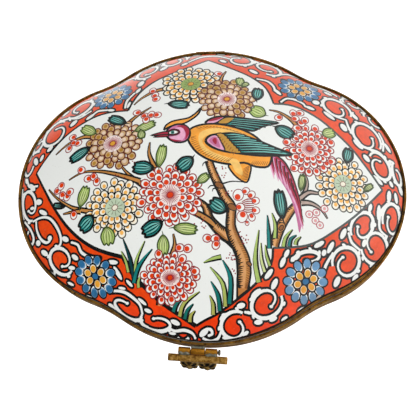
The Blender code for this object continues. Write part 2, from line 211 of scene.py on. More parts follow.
# Painted sheen: towards the right the enamels are paled towards a whitish grey, for the sheen that the glaze
# shows there
right_sheen = add_node(tree, "ShaderNodeMapRange", links={
    "Value": across.outputs["X"], "From Min": 5 * MM, "From Max": 62 * MM, "To Max": 0.055})
sheen_share = add_node(tree, "ShaderNodeMath", {"operation": "MULTIPLY"}, {
    0: right_sheen.outputs[0], 1: enamel.outputs["Alpha"]})
deepened = add_node(tree, "ShaderNodeMix", {"data_type": "RGBA"}, {
    0: sheen_share.outputs[0], MIX_A: deepened.outputs[MIX_OUT], MIX_B: linear("#D8D2D0")})

# A few pinholes, and a gloss that ripples very slightly
pinholes = add_node(tree, "ShaderNodeTexNoise", links={"Vector": place, "Scale": 1 / (0.7 * MM),
                                                       "Detail": 2.0})
speckled = patchy(tree, pinholes.outputs[0], 0.70, 0.76, deepened.outputs[MIX_OUT], linear("#A9A69B"), 0.35)
tree.links.new(speckled, shader.inputs["Base Color"])
gloss = add_node(tree, "ShaderNodeMapRange", links={"Value": pooling.outputs[0], "To Min": 0.07,
                                                    "To Max": 0.17})
tree.links.new(gloss.outputs[0], shader.inputs["Roughness"])
ripple = add_node(tree, "ShaderNodeTexNoise", links={"Vector": place, "Scale": 1 / (5 * MM), "Detail": 1.0})
bumps = add_node(tree, "ShaderNodeBump", links={"Height": ripple.outputs[0], "Strength": 0.12,
                                                "Distance": 0.12 * MM})
tree.links.new(bumps.outputs[0], shader.inputs["Normal"])
shader.inputs["IOR"].default_value = 1.52

# Plain tin glaze: the same glaze with no painting, inside the box and under it. It is a little bluish where
# it lies thick, and has a few grey pinholes.
plain_glaze, tree, shader, place = new_material("plain_tin_glaze")
cloud = add_node(tree, "ShaderNodeTexNoise", links={"Vector": place, "Scale": 1 / (18 * MM), "Detail": 3.0})
clouded = patchy(tree, cloud.outputs[0], 0.0, 1.0, linear("#EDEEE9"), linear("#DFE3E2"))
pinholes = add_node(tree, "ShaderNodeTexNoise", links={"Vector": place, "Scale": 1 / (0.8 * MM),
                                                       "Detail": 2.0})
speckled = patchy(tree, pinholes.outputs[0], 0.69, 0.75, clouded, linear("#98938A"), 0.5)
tree.links.new(speckled, shader.inputs["Base Color"])
gloss = add_node(tree, "ShaderNodeMapRange", links={"Value": cloud.outputs[0], "To Min": 0.10,
                                                    "To Max": 0.2})
tree.links.new(gloss.outputs[0], shader.inputs["Roughness"])
shader.inputs["IOR"].default_value = 1.52

# Biscuit: the fired clay itself where the glaze is wiped off. It is dry, sandy buff, and darker where it has
# picked up dirt from standing.
biscuit, tree, shader, place = new_material("bare_faience_biscuit")
sand = add_node(tree, "ShaderNodeTexNoise", links={"Vector": place, "Scale": 1 / (0.6 * MM), "Detail": 5.0})
stain = add_node(tree, "ShaderNodeTexNoise", links={"Vector": place, "Scale": 1 / (7 * MM), "Detail": 3.0})
clay = patchy(tree, sand.outputs[0], 0.0, 1.0, linear("#D9C6A2"), linear("#B79A70"))
soiled = patchy(tree, stain.outputs[0], 0.5, 0.75, clay, linear("#7D6747"), 0.6)
tree.links.new(soiled, shader.inputs["Base Color"])
grain = add_node(tree, "ShaderNodeBump", links={"Height": sand.outputs[0], "Strength": 0.5,
                                                "Distance": 0.15 * MM})
tree.links.new(grain.outputs[0], shader.inputs["Normal"])
shader.inputs["Roughness"].default_value = 0.85

draw = random.Random(11)
painting = []            # what is painted on the surface in hand: enamel and flat outline, in the order laid
EDGE_LINE = 0.76         # width of the dark line round most shapes
THINNEST = 0.06          # width of the finest hair of a brush


def lay(enamel, outline):
    """Lay one flat shape of enamel over what is painted already."""
    area = sum(a[0] * b[1] - b[0] * a[1] for a, b in zip(outline, outline[1:] + outline[:1]))
    painting.append((enamel, outline if area > 0.0 else outline[::-1]))


def turned(x, y, turn, points):
    """Turn points by so many degrees and move them to (x, y)."""
    c, s = math.cos(math.radians(turn)), math.sin(math.radians(turn))
    return [(x + px * c - py * s, y + px * s + py * c) for px, py in points]


def oval(x, y, half_long, half_wide, turn=0.0, steps=12):
    """Return the outline of an oval, its long axis turned by so many degrees."""
    bearings = [math.tau * step / steps for step in range(steps)]
    return turned(x, y, turn, [(half_long * math.cos(b), half_wide * math.sin(b)) for b in bearings])


def flow(points, fine=4, closed=False):
    """Return a smooth line through points."""
    count = len(points)
    line = []
    for span in range(count if closed else count - 1):
        if closed:
            near = [points[(span + offset) % count] for offset in (-1, 0, 1, 2)]
        else:
            near = [points[min(max(span + offset, 0), count - 1)] for offset in (-1, 0, 1, 2)]
        for step in range(fine):
            t = step / fine
            pull = (
                (-t + 2 * t**2 - t**3) / 2,
                (2 - 5 * t**2 + 3 * t**3) / 2,
                (t + 4 * t**2 - 3 * t**3) / 2,
                (t**3 - t**2) / 2,
            )
            line.append(tuple(sum(w * p[axis] for w, p in zip(pull, near)) for axis in (0, 1)))
    return line if closed else line + [tuple(points[-1])]


def width_along(widths, share):
    """Return the width at a share of a stroke whose width runs evenly through the widths given."""
    place = share * (len(widths) - 1)
    low = min(int(place), len(widths) - 2)
    return widths[low] + (widths[low + 1] - widths[low]) * (place - low)


def brush(enamel, points, widths, fine=4):
    """Draw a stroke along a smooth line, its width running evenly through the widths given."""
    line = flow(points, fine)
    sides = []
    for index, (x, y) in enumerate(line):
        before, after = line[max(index - 1, 0)], line[min(index + 1, len(line) - 1)]
        dx, dy = after[0] - before[0], after[1] - before[1]
        length = math.hypot(dx, dy) or 1.0
        half = max(width_along(widths, index / (len(line) - 1)), THINNEST) / 2.0
        across = (-dy / length * half, dx / length * half)
        sides.append(((x + across[0], y + across[1]), (x - across[0], y - across[1])))
    for (a, b), (c, d) in zip(sides, sides[1:]):
        middle_x, middle_y = [sum(corner[axis] for corner in (a, b, c, d)) / 4.0 for axis in (0, 1)]
        lay(enamel, sorted((a, b, c, d), key=lambda p: math.atan2(p[1] - middle_y, p[0] - middle_x)))


def spot(enamel, x, y, half_long, half_wide=None, turn=0.0, edge=None, line=0.3, steps=12):
    """Lay an oval, over a slightly larger one where it has a drawn edge."""
    half_wide = half_wide or half_long
    if edge:
        lay(edge, oval(x, y, half_long + line, half_wide + line, turn, steps))
    lay(enamel, oval(x, y, half_long, half_wide, turn, steps))


def patch(enamel, points, fine=3, edge="black_line", line=EDGE_LINE):
    """Fill a smooth closed shape, and draw its edge unless there is none."""
    inside = flow(points, fine, closed=True)
    lay(enamel, inside)
    if edge:
        brush(edge, inside + inside[:1], (line, line), 1)


# How a sheet is cut: into triangles throughout, and points as near as this are one
ALL_TRIANGLES, SAME_POINT = 0, 1e-5


def cut_sheet(ground, outline, spacing=3.0):
    """Cut a flat sheet into triangles along all that is painted, and clear the painting for the next surface.

    Returns the points, the triangles, and for each triangle the colour of the topmost enamel on it.
    """
    strokes = [(ground, outline)] + painting
    points, shapes = [], []
    for _, shape in strokes:
        shapes.append(list(range(len(points), len(points) + len(shape))))
        points.extend(Vector(point) for point in shape)
    low, high = np.min(outline, axis=0), np.max(outline, axis=0)
    for x in np.arange(low[0] + spacing / 2.0, high[0], spacing):
        for y in np.arange(low[1] + spacing / 2.0, high[1], spacing):
            points.append(Vector((x, y)))
    cut = delaunay_2d_cdt(points, [], shapes, ALL_TRIANGLES, SAME_POINT, True)
    corners, _, triangles, _, _, owners = cut
    reach = [(np.min(shape, axis=0), np.max(shape, axis=0)) for _, shape in strokes]
    kept, colours = [], []
    for triangle, owned in zip(triangles, owners):
        if 0 not in owned:
            continue
        x, y = sum((corners[number] for number in triangle), Vector((0.0, 0.0))) / 3.0
        near = [owner for owner in owned if reach[owner][0][0] <= x <= reach[owner][1][0]
                and reach[owner][0][1] <= y <= reach[owner][1][1]]
        enamel = strokes[max(near)][0]
        kept.append(triangle)
        colours.append(linear(ENAMELS[enamel])[:3] + [0.0 if enamel in BARE else 1.0])
    painting.clear()
    used, triangles = np.unique(np.array(kept), return_inverse=True)
    return np.array([tuple(corners[number]) for number in used]), triangles.reshape(-1, 3), np.array(colours)


def lift_sheet(name, sheet, surface, finishes):
    """Lift a cut sheet on to its surface as a mesh, and return the piece and the surface's own normals."""
    places, triangles, colours = sheet
    step = 0.02
    across = surface(places + (step, 0.0)) - surface(places - (step, 0.0))
    along = surface(places + (0.0, step)) - surface(places - (0.0, step))
    normals = np.cross(across, along)
    mesh = bpy.data.meshes.new(name)
    mesh.from_pydata(surface(places).tolist(), [], triangles.tolist())
    for finish in finishes:
        mesh.materials.append(finish)
    enamels = mesh.color_attributes.new("enamel", "FLOAT_COLOR", "CORNER")
    enamels.data.foreach_set("color", np.repeat(colours, 3, axis=0).ravel())
    piece = bpy.data.objects.new(name, mesh)
    bpy.context.scene.collection.objects.link(piece)
    return piece, normals / np.linalg.norm(normals, axis=1)[:, None]


def add_rings(piece, start, rings, region):
    """Carry a piece on through rings of (radius function, height, finish), and close it at its middle.

    It goes on from the open edges that pass start, and notes each ring and its region for the flat layout.
    """
    shape = bmesh.new()
    shape.from_mesh(piece.data)
    ring_layer = shape.verts.layers.float.get("ring") or shape.verts.layers.float.new("ring")
    region_layer = shape.faces.layers.int.get("region") or shape.faces.layers.int.new("region")
    edges = [edge for edge in shape.edges if len(edge.link_faces) == 1 and start(edge)]
    for edge in edges:
        for corner in edge.verts:
            corner[ring_layer] = 1.0
    for number, (radius_at, height, finish) in enumerate(rings, 1):
        made = bmesh.ops.extrude_edge_only(shape, edges=edges)["geom"]
        corners = [part for part in made if isinstance(part, bmesh.types.BMVert)]
        edges = [part for part in made if isinstance(part, bmesh.types.BMEdge)]
        for face in (part for part in made if isinstance(part, bmesh.types.BMFace)):
            face.material_index = finish
            face[region_layer] = region
        bearings = np.array([math.atan2(c.co.y - PLAN_CENTRE_Y * MM, c.co.x) for c in corners])
        for corner, point in zip(corners, plan_points(bearings, radius_at(bearings), height)):
            corner.co = point
            corner[ring_layer] = 1.0 - number / len(rings)
    bmesh.ops.pointmerge(shape, verts=corners, merge_co=plan_points(0.0, 0.0, rings[-1][1]))
    bmesh.ops.recalc_face_normals(shape, faces=shape.faces[:])
    shape.to_mesh(piece.data)
    shape.free()


def lay_flat(piece, sheet_layout, regions):
    """Give a piece its flat layout: the painted sheet by sheet_layout, each other region in its own oval."""
    mesh = piece.data
    layout = mesh.uv_layers.new(name="OFBake")
    corners = np.empty(len(mesh.loops), dtype=np.int32)
    mesh.loops.foreach_get("vertex_index", corners)
    places = np.array([tuple(corner.co) for corner in mesh.vertices])
    ring = np.array([value.value for value in mesh.attributes["ring"].data])
    region = np.repeat([value.value for value in mesh.attributes["region"].data],
                       [face.loop_total for face in mesh.polygons])
    bearings = np.arctan2(places[:, 1] - PLAN_CENTRE_Y * MM, places[:, 0])[corners]
    flat = np.zeros((len(corners), 2))
    painted = region == 0
    flat[painted] = sheet_layout(corners[painted])
    for number, (low, high) in enumerate(regions, 1):
        inside = region == number
        middle, half = (np.array(low) + high) / 2.0, (np.array(high) - low) / 2.0
        around = np.stack((np.cos(bearings[inside]), np.sin(bearings[inside])), axis=-1)
        flat[inside] = middle + half * around * ring[corners[inside], None]
    layout.data.foreach_set("uv", flat.astype(np.float32).ravel())


def shade_painted(piece, normals):
    """Shade a piece smooth, with the surface's own normals on its painted sheet, whose points come first."""
    mesh = piece.data
    mesh.shade_smooth()
    found = np.array([tuple(corner.normal) for corner in mesh.vertices])
    found[:len(normals)] = normals
    mesh.normals_split_custom_set_from_vertices(found.tolist())


def at_inset(inset, share=1.0):
    """Return the function that gives the radius at bearings of a share of the outline at one inset."""
    return lambda bearings: share * outline_radius(bearings, inset)


def body_inset(height):
    """Return how far the outer wall has drawn in at a height."""
    fall = np.maximum((BODY_EDGE_Z - height) / (BODY_EDGE_Z - FOOT_TOP_Z), 0.0)
    return SHELL_INSET + TAPER * fall**TAPER_POWER


# The wall is painted as if it were unrolled: along it from the back right notch, and up it from the table
SEAM = math.radians(45.0)
ROUND_STEPS, DENSE_STEPS = 150, 2000
dense = np.linspace(SEAM, SEAM + math.tau, DENSE_STEPS + 1)
dense_points = plan_points(dense, outline_radius(dense, SHELL_INSET), 0.0) / MM
lengths = np.concatenate(([0.0], np.cumsum(np.linalg.norm(np.diff(dense_points, axis=0), axis=1))))
ROUND = float(lengths[-1])


def along_wall(degrees):
    """Return how far along the unrolled wall a bearing in degrees is."""
    bearing = (math.radians(degrees) - SEAM) % math.tau + SEAM
    return float(np.interp(bearing, dense, lengths))


def body_wall(places):
    """Return the points of the outer wall at places along it and up it."""
    bearings = np.interp(places[:, 0], lengths, dense)
    return plan_points(bearings, outline_radius(bearings, body_inset(places[:, 1])), places[:, 1])


# A flower's rings of petals, each with its count, its share of the flower's size and the size of a petal
BLOOM_RINGS = ((19, 0.93, 0.118), (16, 0.70, 0.124), (12, 0.47, 0.112))
SMALL_RINGS = ((14, 0.84, 0.17), (9, 0.52, 0.15))

# A flower's enamels: edge and its width, petal, tip and its share of the petal, heart, rays, middle
BLOOM_KINDS = {
    "red": ("crimson_line", 0.43, "scroll_white", "berry", 0.74, "rose_white", "stamen", "berry"),
    "gold": ("black_line", 0.54, "cream", "apricot", 0.66, "sage", "leaf_line", "ochre"),
    "pale gold": ("black_line", 0.42, "cream", "apricot", 0.62, "pale_sage", "leaf_line", "cream"),
    "tan": ("maroon_line", 0.50, "tan", "tan_gold", 0.66, "rose_white", "stamen", "ochre"),
}
PINK_SHARE = 0.6         # share of a tan flower's petals that are shell pink


def bloom(x, y, long, wide, kind, rings=BLOOM_RINGS):
    """Paint a chrysanthemum: rings of round petals about a heart with fine rays."""
    edge, line, petal, tip, fill, heart, ray, middle = BLOOM_KINDS[kind]
    size = (long + wide) / 2.0
    for count, share, petal_size in rings:
        for number in range(count):
            bearing = math.tau * (number + 0.5 * (share < 0.8)) / count + draw.uniform(-0.05, 0.05)
            out = share + draw.uniform(-0.04, 0.04) * (1.0 + (share > 0.9))
            c, s = math.cos(bearing), math.sin(bearing)
            px, py = x + long * out * c, y + wide * out * s
            half = draw.uniform(0.9, 1.12) * petal_size * size
            turn = math.degrees(bearing)
            spot(petal, px, py, half * 1.12, half * 0.98, turn, edge, line)
            if kind == "tan" and draw.random() < PINK_SHARE:
                spot("shell_pink", px - 0.25 * c, py - 0.25 * s, half * 0.7, half * 0.66, turn, steps=10)
            else:
                shift = 0.2 if kind == "tan" else -0.3
                spot(tip, px + shift * c, py + shift * s, half * fill, half * (fill - 0.04), turn, steps=10)
    rayed = ray == "stamen"
    rays = 30 if rayed else 22
    spot(heart, x, y, long * 0.36, wide * 0.36, 0.0, None if rayed else edge, 0.12, steps=20)
    for number in range(rays):
        bearing = math.tau * number / rays
        c, s = math.cos(bearing), math.sin(bearing) * wide / long
        near, far = 0.08 * size, (0.38 if rayed else 0.33) * size * draw.uniform(0.75, 1.0)
        if rayed or number % 2:
            widths = (0.26, 0.2) if rayed else (0.08, 0.2)
            brush(ray, [(x + near * c, y + near * s), (x + far * c, y + far * s)], widths, 1)
    middle_edge = "crimson_line" if kind == "red" else "brown_line"
    spot(middle, x, y, 0.1 * size, 0.085 * size, 20.0, middle_edge, 0.25)


def berry(x, y, turn=0.0):
    """Paint a bud: a red spot in a ring of thin crimson line."""
    c, s = math.cos(math.radians(turn)), math.sin(math.radians(turn))
    spot("scroll_white", x, y, 1.35, 1.15, turn, "crimson_line", 0.38)
    spot("berry", x + 0.35 * c, y + 0.35 * s, 0.92, steps=10)


# A leaf's edge, from its stalk round by the three points of its tip
LEAF_SHAPE = ((-1.0, 0.0), (-0.55, 0.72), (0.1, 1.0), (0.62, 0.86), (1.0, 0.6), (0.82, 0.3), (1.1, 0.02),
              (0.82, -0.28), (0.96, -0.58), (0.5, -0.86), (-0.1, -0.95), (-0.65, -0.6))

# A leaf's enamels: edge and its width, body, light ribs, and the width of the dark ribs
LEAF_KINDS = {
    "teal": ("black_line", 0.80, "teal", "light_teal", 0.36),
    "green": ("leaf_line", 0.56, "leaf", "pale_leaf", 0.22),
}

# How far out its ribs bow, as shares of its width, and the width of the light ones
LIGHT_BOWS, DARK_BOWS, LIGHT_RIB = (0.44, 0.0, -0.42), (0.66, 0.22, -0.2, -0.64), 0.5

# The course of a rib: along the leaf, and outward as a share of its bow
RIB_COURSE = ((-0.88, 0.1), (-0.1, 0.95), (0.74, 0.8))


def leaf(x, y, long, wide, turn, kind):
    """Paint a leaf: one body of green, ribs that fan out light and dark from the stalk, and a drawn edge."""
    dark, line, green, light, dark_rib = LEAF_KINDS[kind]
    patch(green, turned(x, y, turn, [(px * long, py * wide) for px, py in LEAF_SHAPE]), edge=dark, line=line)
    for enamel, bows, width in ((light, LIGHT_BOWS, LIGHT_RIB), (dark, DARK_BOWS, dark_rib)):
        for bow in bows:
            rib = [(along * long, out * bow * wide) for along, out in RIB_COURSE]
            brush(enamel, turned(x, y, turn, rib), (width * 0.5, width, width * 0.4), 3)
    stalk = [(-0.9 * long, 0.0), (-1.2 * long, -0.2), (-1.45 * long, -0.5)]
    brush(dark, turned(x, y, turn, stalk), (line, line * 0.6, 0.12), 3)


STOUT_LIMB = 1.5         # from this width on a branch has light and shade


def limb(points, widths, wood="bark"):
    """Paint a branch: dark edges and a tan body, and on a stout one a light middle and strokes of shade."""
    brush("black_line", points, tuple(width + 0.62 + 0.75 * min(width, 1.0) for width in widths), 5)
    brush(wood, points, widths, 5)
    if max(widths) < STOUT_LIMB:
        return
    if wood == "bark":
        brush("pale_bark", [(x - 0.15, y) for x, y in points], tuple(width * 0.42 for width in widths), 5)
    line = flow(points, 6)
    for index in range(1, len(line) - 1):
        (x, y), (ahead_x, ahead_y) = line[index], line[index + 1]
        dx, dy = ahead_x - x, ahead_y - y
        length = math.hypot(dx, dy)
        half = width_along(widths, index / (len(line) - 1)) / 2.0
        out = (-dy / length * half, dx / length * half)
        for side, reach, enamel in ((1.0, draw.uniform(0.3, 1.0), "black_line"), (-1.0, 0.55, "bark_shade")):
            start = (x + side * out[0], y + side * out[1])
            left = side * (1.0 - reach)
            stop = (x + out[0] * left + dx * 0.5, y + out[1] * left + dy * 0.5)
            brush(enamel, [start, stop], (0.62, 0.15), 1)


CURL_FROM, CURL_IN, SCROLL_STEPS = 0.6, 0.62, 26


def scroll_line(x, y, long, wide, tilt, start, way, sweep):
    """Return the middle line of a scroll: round an oval, then in to a curl."""
    points = []
    for step in range(SCROLL_STEPS + 1):
        share = step / SCROLL_STEPS
        ease = min(max((share - CURL_FROM) / (1.0 - CURL_FROM), 0.0), 1.0)
        out = 1.0 - CURL_IN * ease * ease * (3 - 2 * ease)
        bearing = math.radians(start - tilt + way * sweep * share)
        points.append((long * out * math.cos(bearing), wide * out * math.sin(bearing)))
    return turned(x, y, tilt, points)


def scrollwork(scrolls, tendrils, drops, white=0.95):
    """Paint scrolls, tendrils and drops: all the dark edges, then the white, so that joints run together."""
    lines = [(scroll[:2], scroll_line(*scroll)) for scroll in scrolls]
    knob = white * 0.6
    for enamel, more in (("black_line", EDGE_LINE), ("scroll_white", 0.0)):
        for (x, y), line in lines:
            brush(enamel, line, [white * share + 2 * more for share in (0.75, 1.15, 1.15, 0.75, 0.5)], 1)
            spot(enamel, *line[-1], knob + more, knob * 0.75 + more)
            for px, py in line[2:15:4]:
                away = math.hypot(px - x, py - y)
                out_x, out_y = (px - x) / away, (py - y) / away
                tilt = math.degrees(math.atan2(out_y, out_x)) + 65.0
                spot(enamel, px + 0.7 * white * out_x, py + 0.7 * white * out_y, white * 0.7 + more,
                     white * 0.45 + more, tilt)
        for line in tendrils:
            brush(enamel, line, [white * share + 2 * more for share in (0.65, 0.95, 0.65)])
            for end in (line[0], line[-1]):
                spot(enamel, *end, white * 0.4 + more)
        for x, y, half_long, half_wide, tilt in drops:
            spot(enamel, x, y, half_long * 0.95 + more, half_wide * 0.9 + more, tilt)


# Round the rim runs a red band with one scroll after another, as on the lid but plainer
BAND_FOOT_Z, BAND_TOP_Z, SCROLL_PITCH = 35.4, 43.2, 10.0
wall_steps = [ROUND * step / ROUND_STEPS for step in range(ROUND_STEPS + 1)]


def hoop(enamel, low, high):
    """Paint a level stripe round the wall, its edges in short steps so that they follow the wall's bends."""
    lay(enamel, [(x, low) for x in wall_steps] + [(x, high) for x in reversed(wall_steps)])


hoop("iron_red", BAND_FOOT_Z, BAND_TOP_Z)
count = round(ROUND / SCROLL_PITCH)
pitch = ROUND / count
middle_z = (BAND_FOOT_Z + BAND_TOP_Z) / 2.0
scrolls, drops = [], []
for number in range(count):
    start, way, drop_z = (200, -1, middle_z + 1.6) if number % 2 else (160, 1, middle_z - 1.6)
    scrolls.append(((number + 0.5) * pitch, middle_z, 2.9, 2.3, 0.0, start, way, 400))
    drops.append((number * pitch, drop_z, 1.5, 0.6, 20.0))
scrollwork(scrolls, (), drops[1:], 0.9)
for enamel, height, width in (("black_line", BAND_FOOT_Z - 0.3, 0.6), ("black_line", BAND_TOP_Z, 0.3),
                              ("iron_red", 33.9, 0.35), ("iron_red", 6.4, 0.9), ("iron_red", 5.2, 0.35)):
    hoop(enamel, height, height + width)

# One spray of flowers on each lobe, and a sprig in each notch between them
for degrees, kind, lean in ((270, "red", 1), (0, "gold", -1), (90, "red", -1), (180, "tan", 1)):
    x = along_wall(degrees)
    limb([(x - lean * 24, 13), (x - lean * 14, 16), (x - lean * 4, 19)], (0.4, 0.9, 1.1))
    limb([(x + lean * 4, 18), (x + lean * 14, 22), (x + lean * 24, 21)], (1.1, 0.8, 0.3))
    limb([(x - lean * 2, 8.5), (x - lean * 1, 14), (x, 18)], (1.3, 1.2, 1.0))
    bloom(x, 20.5, 8.4, 7.6, kind)
    small = "tan" if kind == "gold" else "gold"
    bloom(x - lean * 19, 23.5, 5.2, 5.2, small, SMALL_RINGS)
    bloom(x + lean * 20, 14.5, 5.2, 5.0, small, SMALL_RINGS)
    for along, up, turn, colour in (
            (-11, 12.5, 200, "teal"), (-10.5, 26.5, 130, "green"), (11.5, 27.0, 40, "teal"),
            (11.0, 11.0, -30, "green"), (-26.5, 16.5, 210, "green"), (27.0, 24.5, 20, "teal")):
        leaf(x + lean * along, up, 2.9, 1.7, turn if lean > 0 else 180 - turn, colour)
    for along, up in ((-27, 28), (-24.5, 30), (16, 29.5), (18.5, 27.5), (28, 17), (29.5, 19.5),
                      (-6, 10), (5.5, 9)):
        berry(x + lean * along, up, 40.0)
for degrees in (135, 225, 315):
    x = along_wall(degrees)
    limb([(x - 3, 12), (x, 17), (x + 1, 24)], (0.8, 0.7, 0.3))
    for along, up, turn, colour in ((-4, 18, 140, "green"), (4, 20, 40, "teal"), (1.5, 27, 85, "green")):
        leaf(x + along, up, 2.6, 1.4, turn, colour)
    for along, up in ((-3, 23), (5, 14.5), (-5.5, 13.5)):
        berry(x + along, up, 60.0)

up_steps = [FOOT_TOP_Z + (BODY_EDGE_Z - FOOT_TOP_Z) * step / 14 for step in range(15)]
wall_outline = [(x, FOOT_TOP_Z) for x in wall_steps] + [(ROUND, z) for z in up_steps[1:-1]]
wall_outline += [(x, BODY_EDGE_Z) for x in reversed(wall_steps)]
wall_outline += [(0.0, z) for z in reversed(up_steps[1:-1])]
places, triangles, colours = cut_sheet("bare_glaze", wall_outline)

# The two ends of the unrolled wall meet at the back right notch, and there they share their points
ends = (places[:, 0] < 1e-3) | (places[:, 0] > ROUND - 1e-3)
starts = {}
for number in np.flatnonzero(ends):
    starts.setdefault(round(places[number, 1], 2), number)
shared = [starts[round(place[1], 2)] if end else number
          for number, (place, end) in enumerate(zip(places, ends))]
shared = np.array(shared)[triangles]
whole = (shared[:, 0] != shared[:, 1]) & (shared[:, 1] != shared[:, 2]) & (shared[:, 2] != shared[:, 0])
unrolled = places[triangles][whole]
used, triangles = np.unique(shared[whole], return_inverse=True)
sheet = (places[used], triangles.reshape(-1, 3), colours[whole])
body_piece, wall_normals = lift_sheet("painted_body", sheet, body_wall,
                                      (painted_glaze, plain_glaze, biscuit))

# From the wall's top over the rim, down the inside and across the floor
CORNER = 4.0
inner_rings = [(at_inset(SHELL_INSET + WALL), BODY_EDGE_Z, 1)]
for height in np.linspace(BODY_EDGE_Z, FLOOR_Z + CORNER, 12)[1:]:
    inner_rings.append((at_inset(body_inset(height) + WALL), float(height), 1))
for turn in np.linspace(0.0, math.pi / 2.0, 6)[1:]:
    height = FLOOR_Z + CORNER * (1.0 - math.sin(turn))
    inset = float(body_inset(FLOOR_Z + CORNER)) + WALL + CORNER * (1.0 - math.cos(turn))
    inner_rings.append((at_inset(inset), height, 1))
for share in (0.7, 0.4, 0.15):
    inner_rings.append((at_inset(inset, share), FLOOR_Z, 1))
add_rings(body_piece, lambda edge: edge.verts[0].co.z > 0.02, inner_rings, 1)

# From the wall's foot round the bare ring that it stands on, and across the glazed underside
foot = float(body_inset(FOOT_TOP_Z)) + FOOT_STEP
foot_section = (
    (foot - 0.3, FOOT_TOP_Z - 0.2, 0), (foot, FOOT_TOP_Z - 0.5, 2), (foot, 0.5, 2), (foot + 0.5, 0.0, 2),
    (foot + FOOT_WIDTH - 0.5, 0.0, 2), (foot + FOOT_WIDTH, 0.5, 2),
    (foot + FOOT_WIDTH, FOOT_RECESS_Z - 0.3, 2), (foot + FOOT_WIDTH + 0.5, FOOT_RECESS_Z, 1),
)
foot_rings = [(at_inset(inset), height, finish) for inset, height, finish in foot_section]
for share in (0.7, 0.4, 0.15):
    foot_rings.append((at_inset(foot + FOOT_WIDTH + 0.5, share), FOOT_RECESS_Z, 1))
add_rings(body_piece, lambda edge: True, foot_rings, 2)


def wall_layout(corners):
    """Fold the unrolled wall into three rows, one over the other."""
    flat = unrolled.reshape(-1, 2)
    row = np.repeat(np.clip(np.floor(unrolled[:, :, 0].mean(axis=1) / ROUND * 3.0), 0, 2), 3)
    across = (flat[:, 0] / ROUND * 3.0 - row) * 0.94 + 0.03
    return np.stack((across, 0.01 + row * 0.27 + (flat[:, 1] - FOOT_TOP_Z) / 45.0 * 0.28), axis=-1)


lay_flat(body_piece, wall_layout, (((0.01, 0.83), (0.48, 0.99)), ((0.52, 0.83), (0.99, 0.99))))
shade_painted(body_piece, wall_normals)
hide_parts("body_shell")
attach(body_piece, "base")

# Brass bands, body_mount and lid_mount: strips of brass drawn to a channel, with fine turned lines along
# them, bent round the two rims and cemented on. They are slightly dented, and soldered at the back.
BODY_HEIGHT, LID_BAND_Z, BAND_THICKNESS = 45.0, 45.3, 0.85
FLANGE_INSET, FLANGE_HEIGHT = 5.7, 3.0

# Section of a band: inset from its outer face, and distance from the face that closes on the other band
BAND_SECTION = (
    (0.40, 0.00), (0.14, 0.12), (0.03, 0.36), (0.02, 0.80), (0.16, 0.94), (0.18, 1.08), (0.03, 1.22),
    (0.01, 1.70), (0.01, 2.90), (0.03, 3.34), (0.18, 3.48), (0.18, 3.62), (0.04, 3.78), (0.02, 4.30),
    (0.06, 4.66), (0.16, 4.88), (0.26, 4.97), (0.34, 4.90), (0.40, 4.82), (0.48, 4.90), (0.58, 5.00),
    (0.70, 4.98), (0.80, 4.86), (0.85, 4.62), (0.85, 1.10), (FLANGE_INSET, 1.10), (FLANGE_INSET, 2.86),
    (FLANGE_INSET + 0.14, FLANGE_HEIGHT), (6.66, FLANGE_HEIGHT), (6.80, 2.86), (6.80, 0.14), (6.66, 0.00),
)
BAND_POINTS = 320

# Dents of a band: depth, how many go round, and where they begin
BAND_DENTS = ((0.05, 3.0, 1.0), (0.03, 11.0, 0.0), (0.02, 29.0, 0.0))


# Aged gilt brass: yellow metal under a brown skin that comes and goes in patches of a few millimetres, with
# grime in its pits and a little pink copper showing through
def aged_brass(name, bright, brown, dark, grime, shine):
    """Return a brass in three depths of tarnish, with so much grime and so rough a shine."""
    material, tree, shader, place = new_material(name)
    skin = add_node(tree, "ShaderNodeTexNoise", links={
        "Vector": place, "Scale": 1 / (3.2 * MM), "Detail": 6.0, "Roughness": 0.62})
    crust = add_node(tree, "ShaderNodeTexNoise", links={"Vector": place, "Scale": 1 / (1.1 * MM),
                                                        "Detail": 4.0})
    worn = patchy(tree, skin.outputs[0], 0.38, 0.62, linear(bright), linear(brown))
    pitted = patchy(tree, crust.outputs[0], 0.56 - grime, 0.70 - grime, worn, linear(dark))
    rosy = patchy(tree, crust.outputs[1], 0.60, 0.70, pitted, linear("#B98E72"), 0.55)
    tree.links.new(rosy, shader.inputs["Base Color"])
    rough = add_node(tree, "ShaderNodeMapRange", links={
        "Value": crust.outputs[0], "To Min": shine, "To Max": shine + 0.3})
    tree.links.new(rough.outputs[0], shader.inputs["Roughness"])
    relief = add_node(tree, "ShaderNodeBump", links={
        "Height": crust.outputs[0], "Strength": 0.35, "Distance": 0.12 * MM})
    tree.links.new(relief.outputs[0], shader.inputs["Normal"])
    shader.inputs["Metallic"].default_value = 0.9
    return material


lid_band_brass = aged_brass("aged_lid_band_brass", "#D4A44E", "#94692F", "#38281A", 0.0, 0.38)
# The body's band is a darker copy of the lid's brass: painted shade, where the lid overhangs it
body_band_in_shade = aged_brass("shaded_brass_of_body_band", "#BC9048", "#7C5A32", "#2E2218", 0.02, 0.46)


def pick(kind, test):
    """In edit mode, select the corners, edges or faces that pass a test, and nothing else."""
    bpy.ops.mesh.select_all(action="DESELECT")
    shape = bmesh.from_edit_mesh(bpy.context.edit_object.data)
    for part in getattr(shape, kind):
        part.select_set(bool(test(part)))
    shape.select_flush_mode()
    bmesh.update_edit_mesh(bpy.context.edit_object.data)


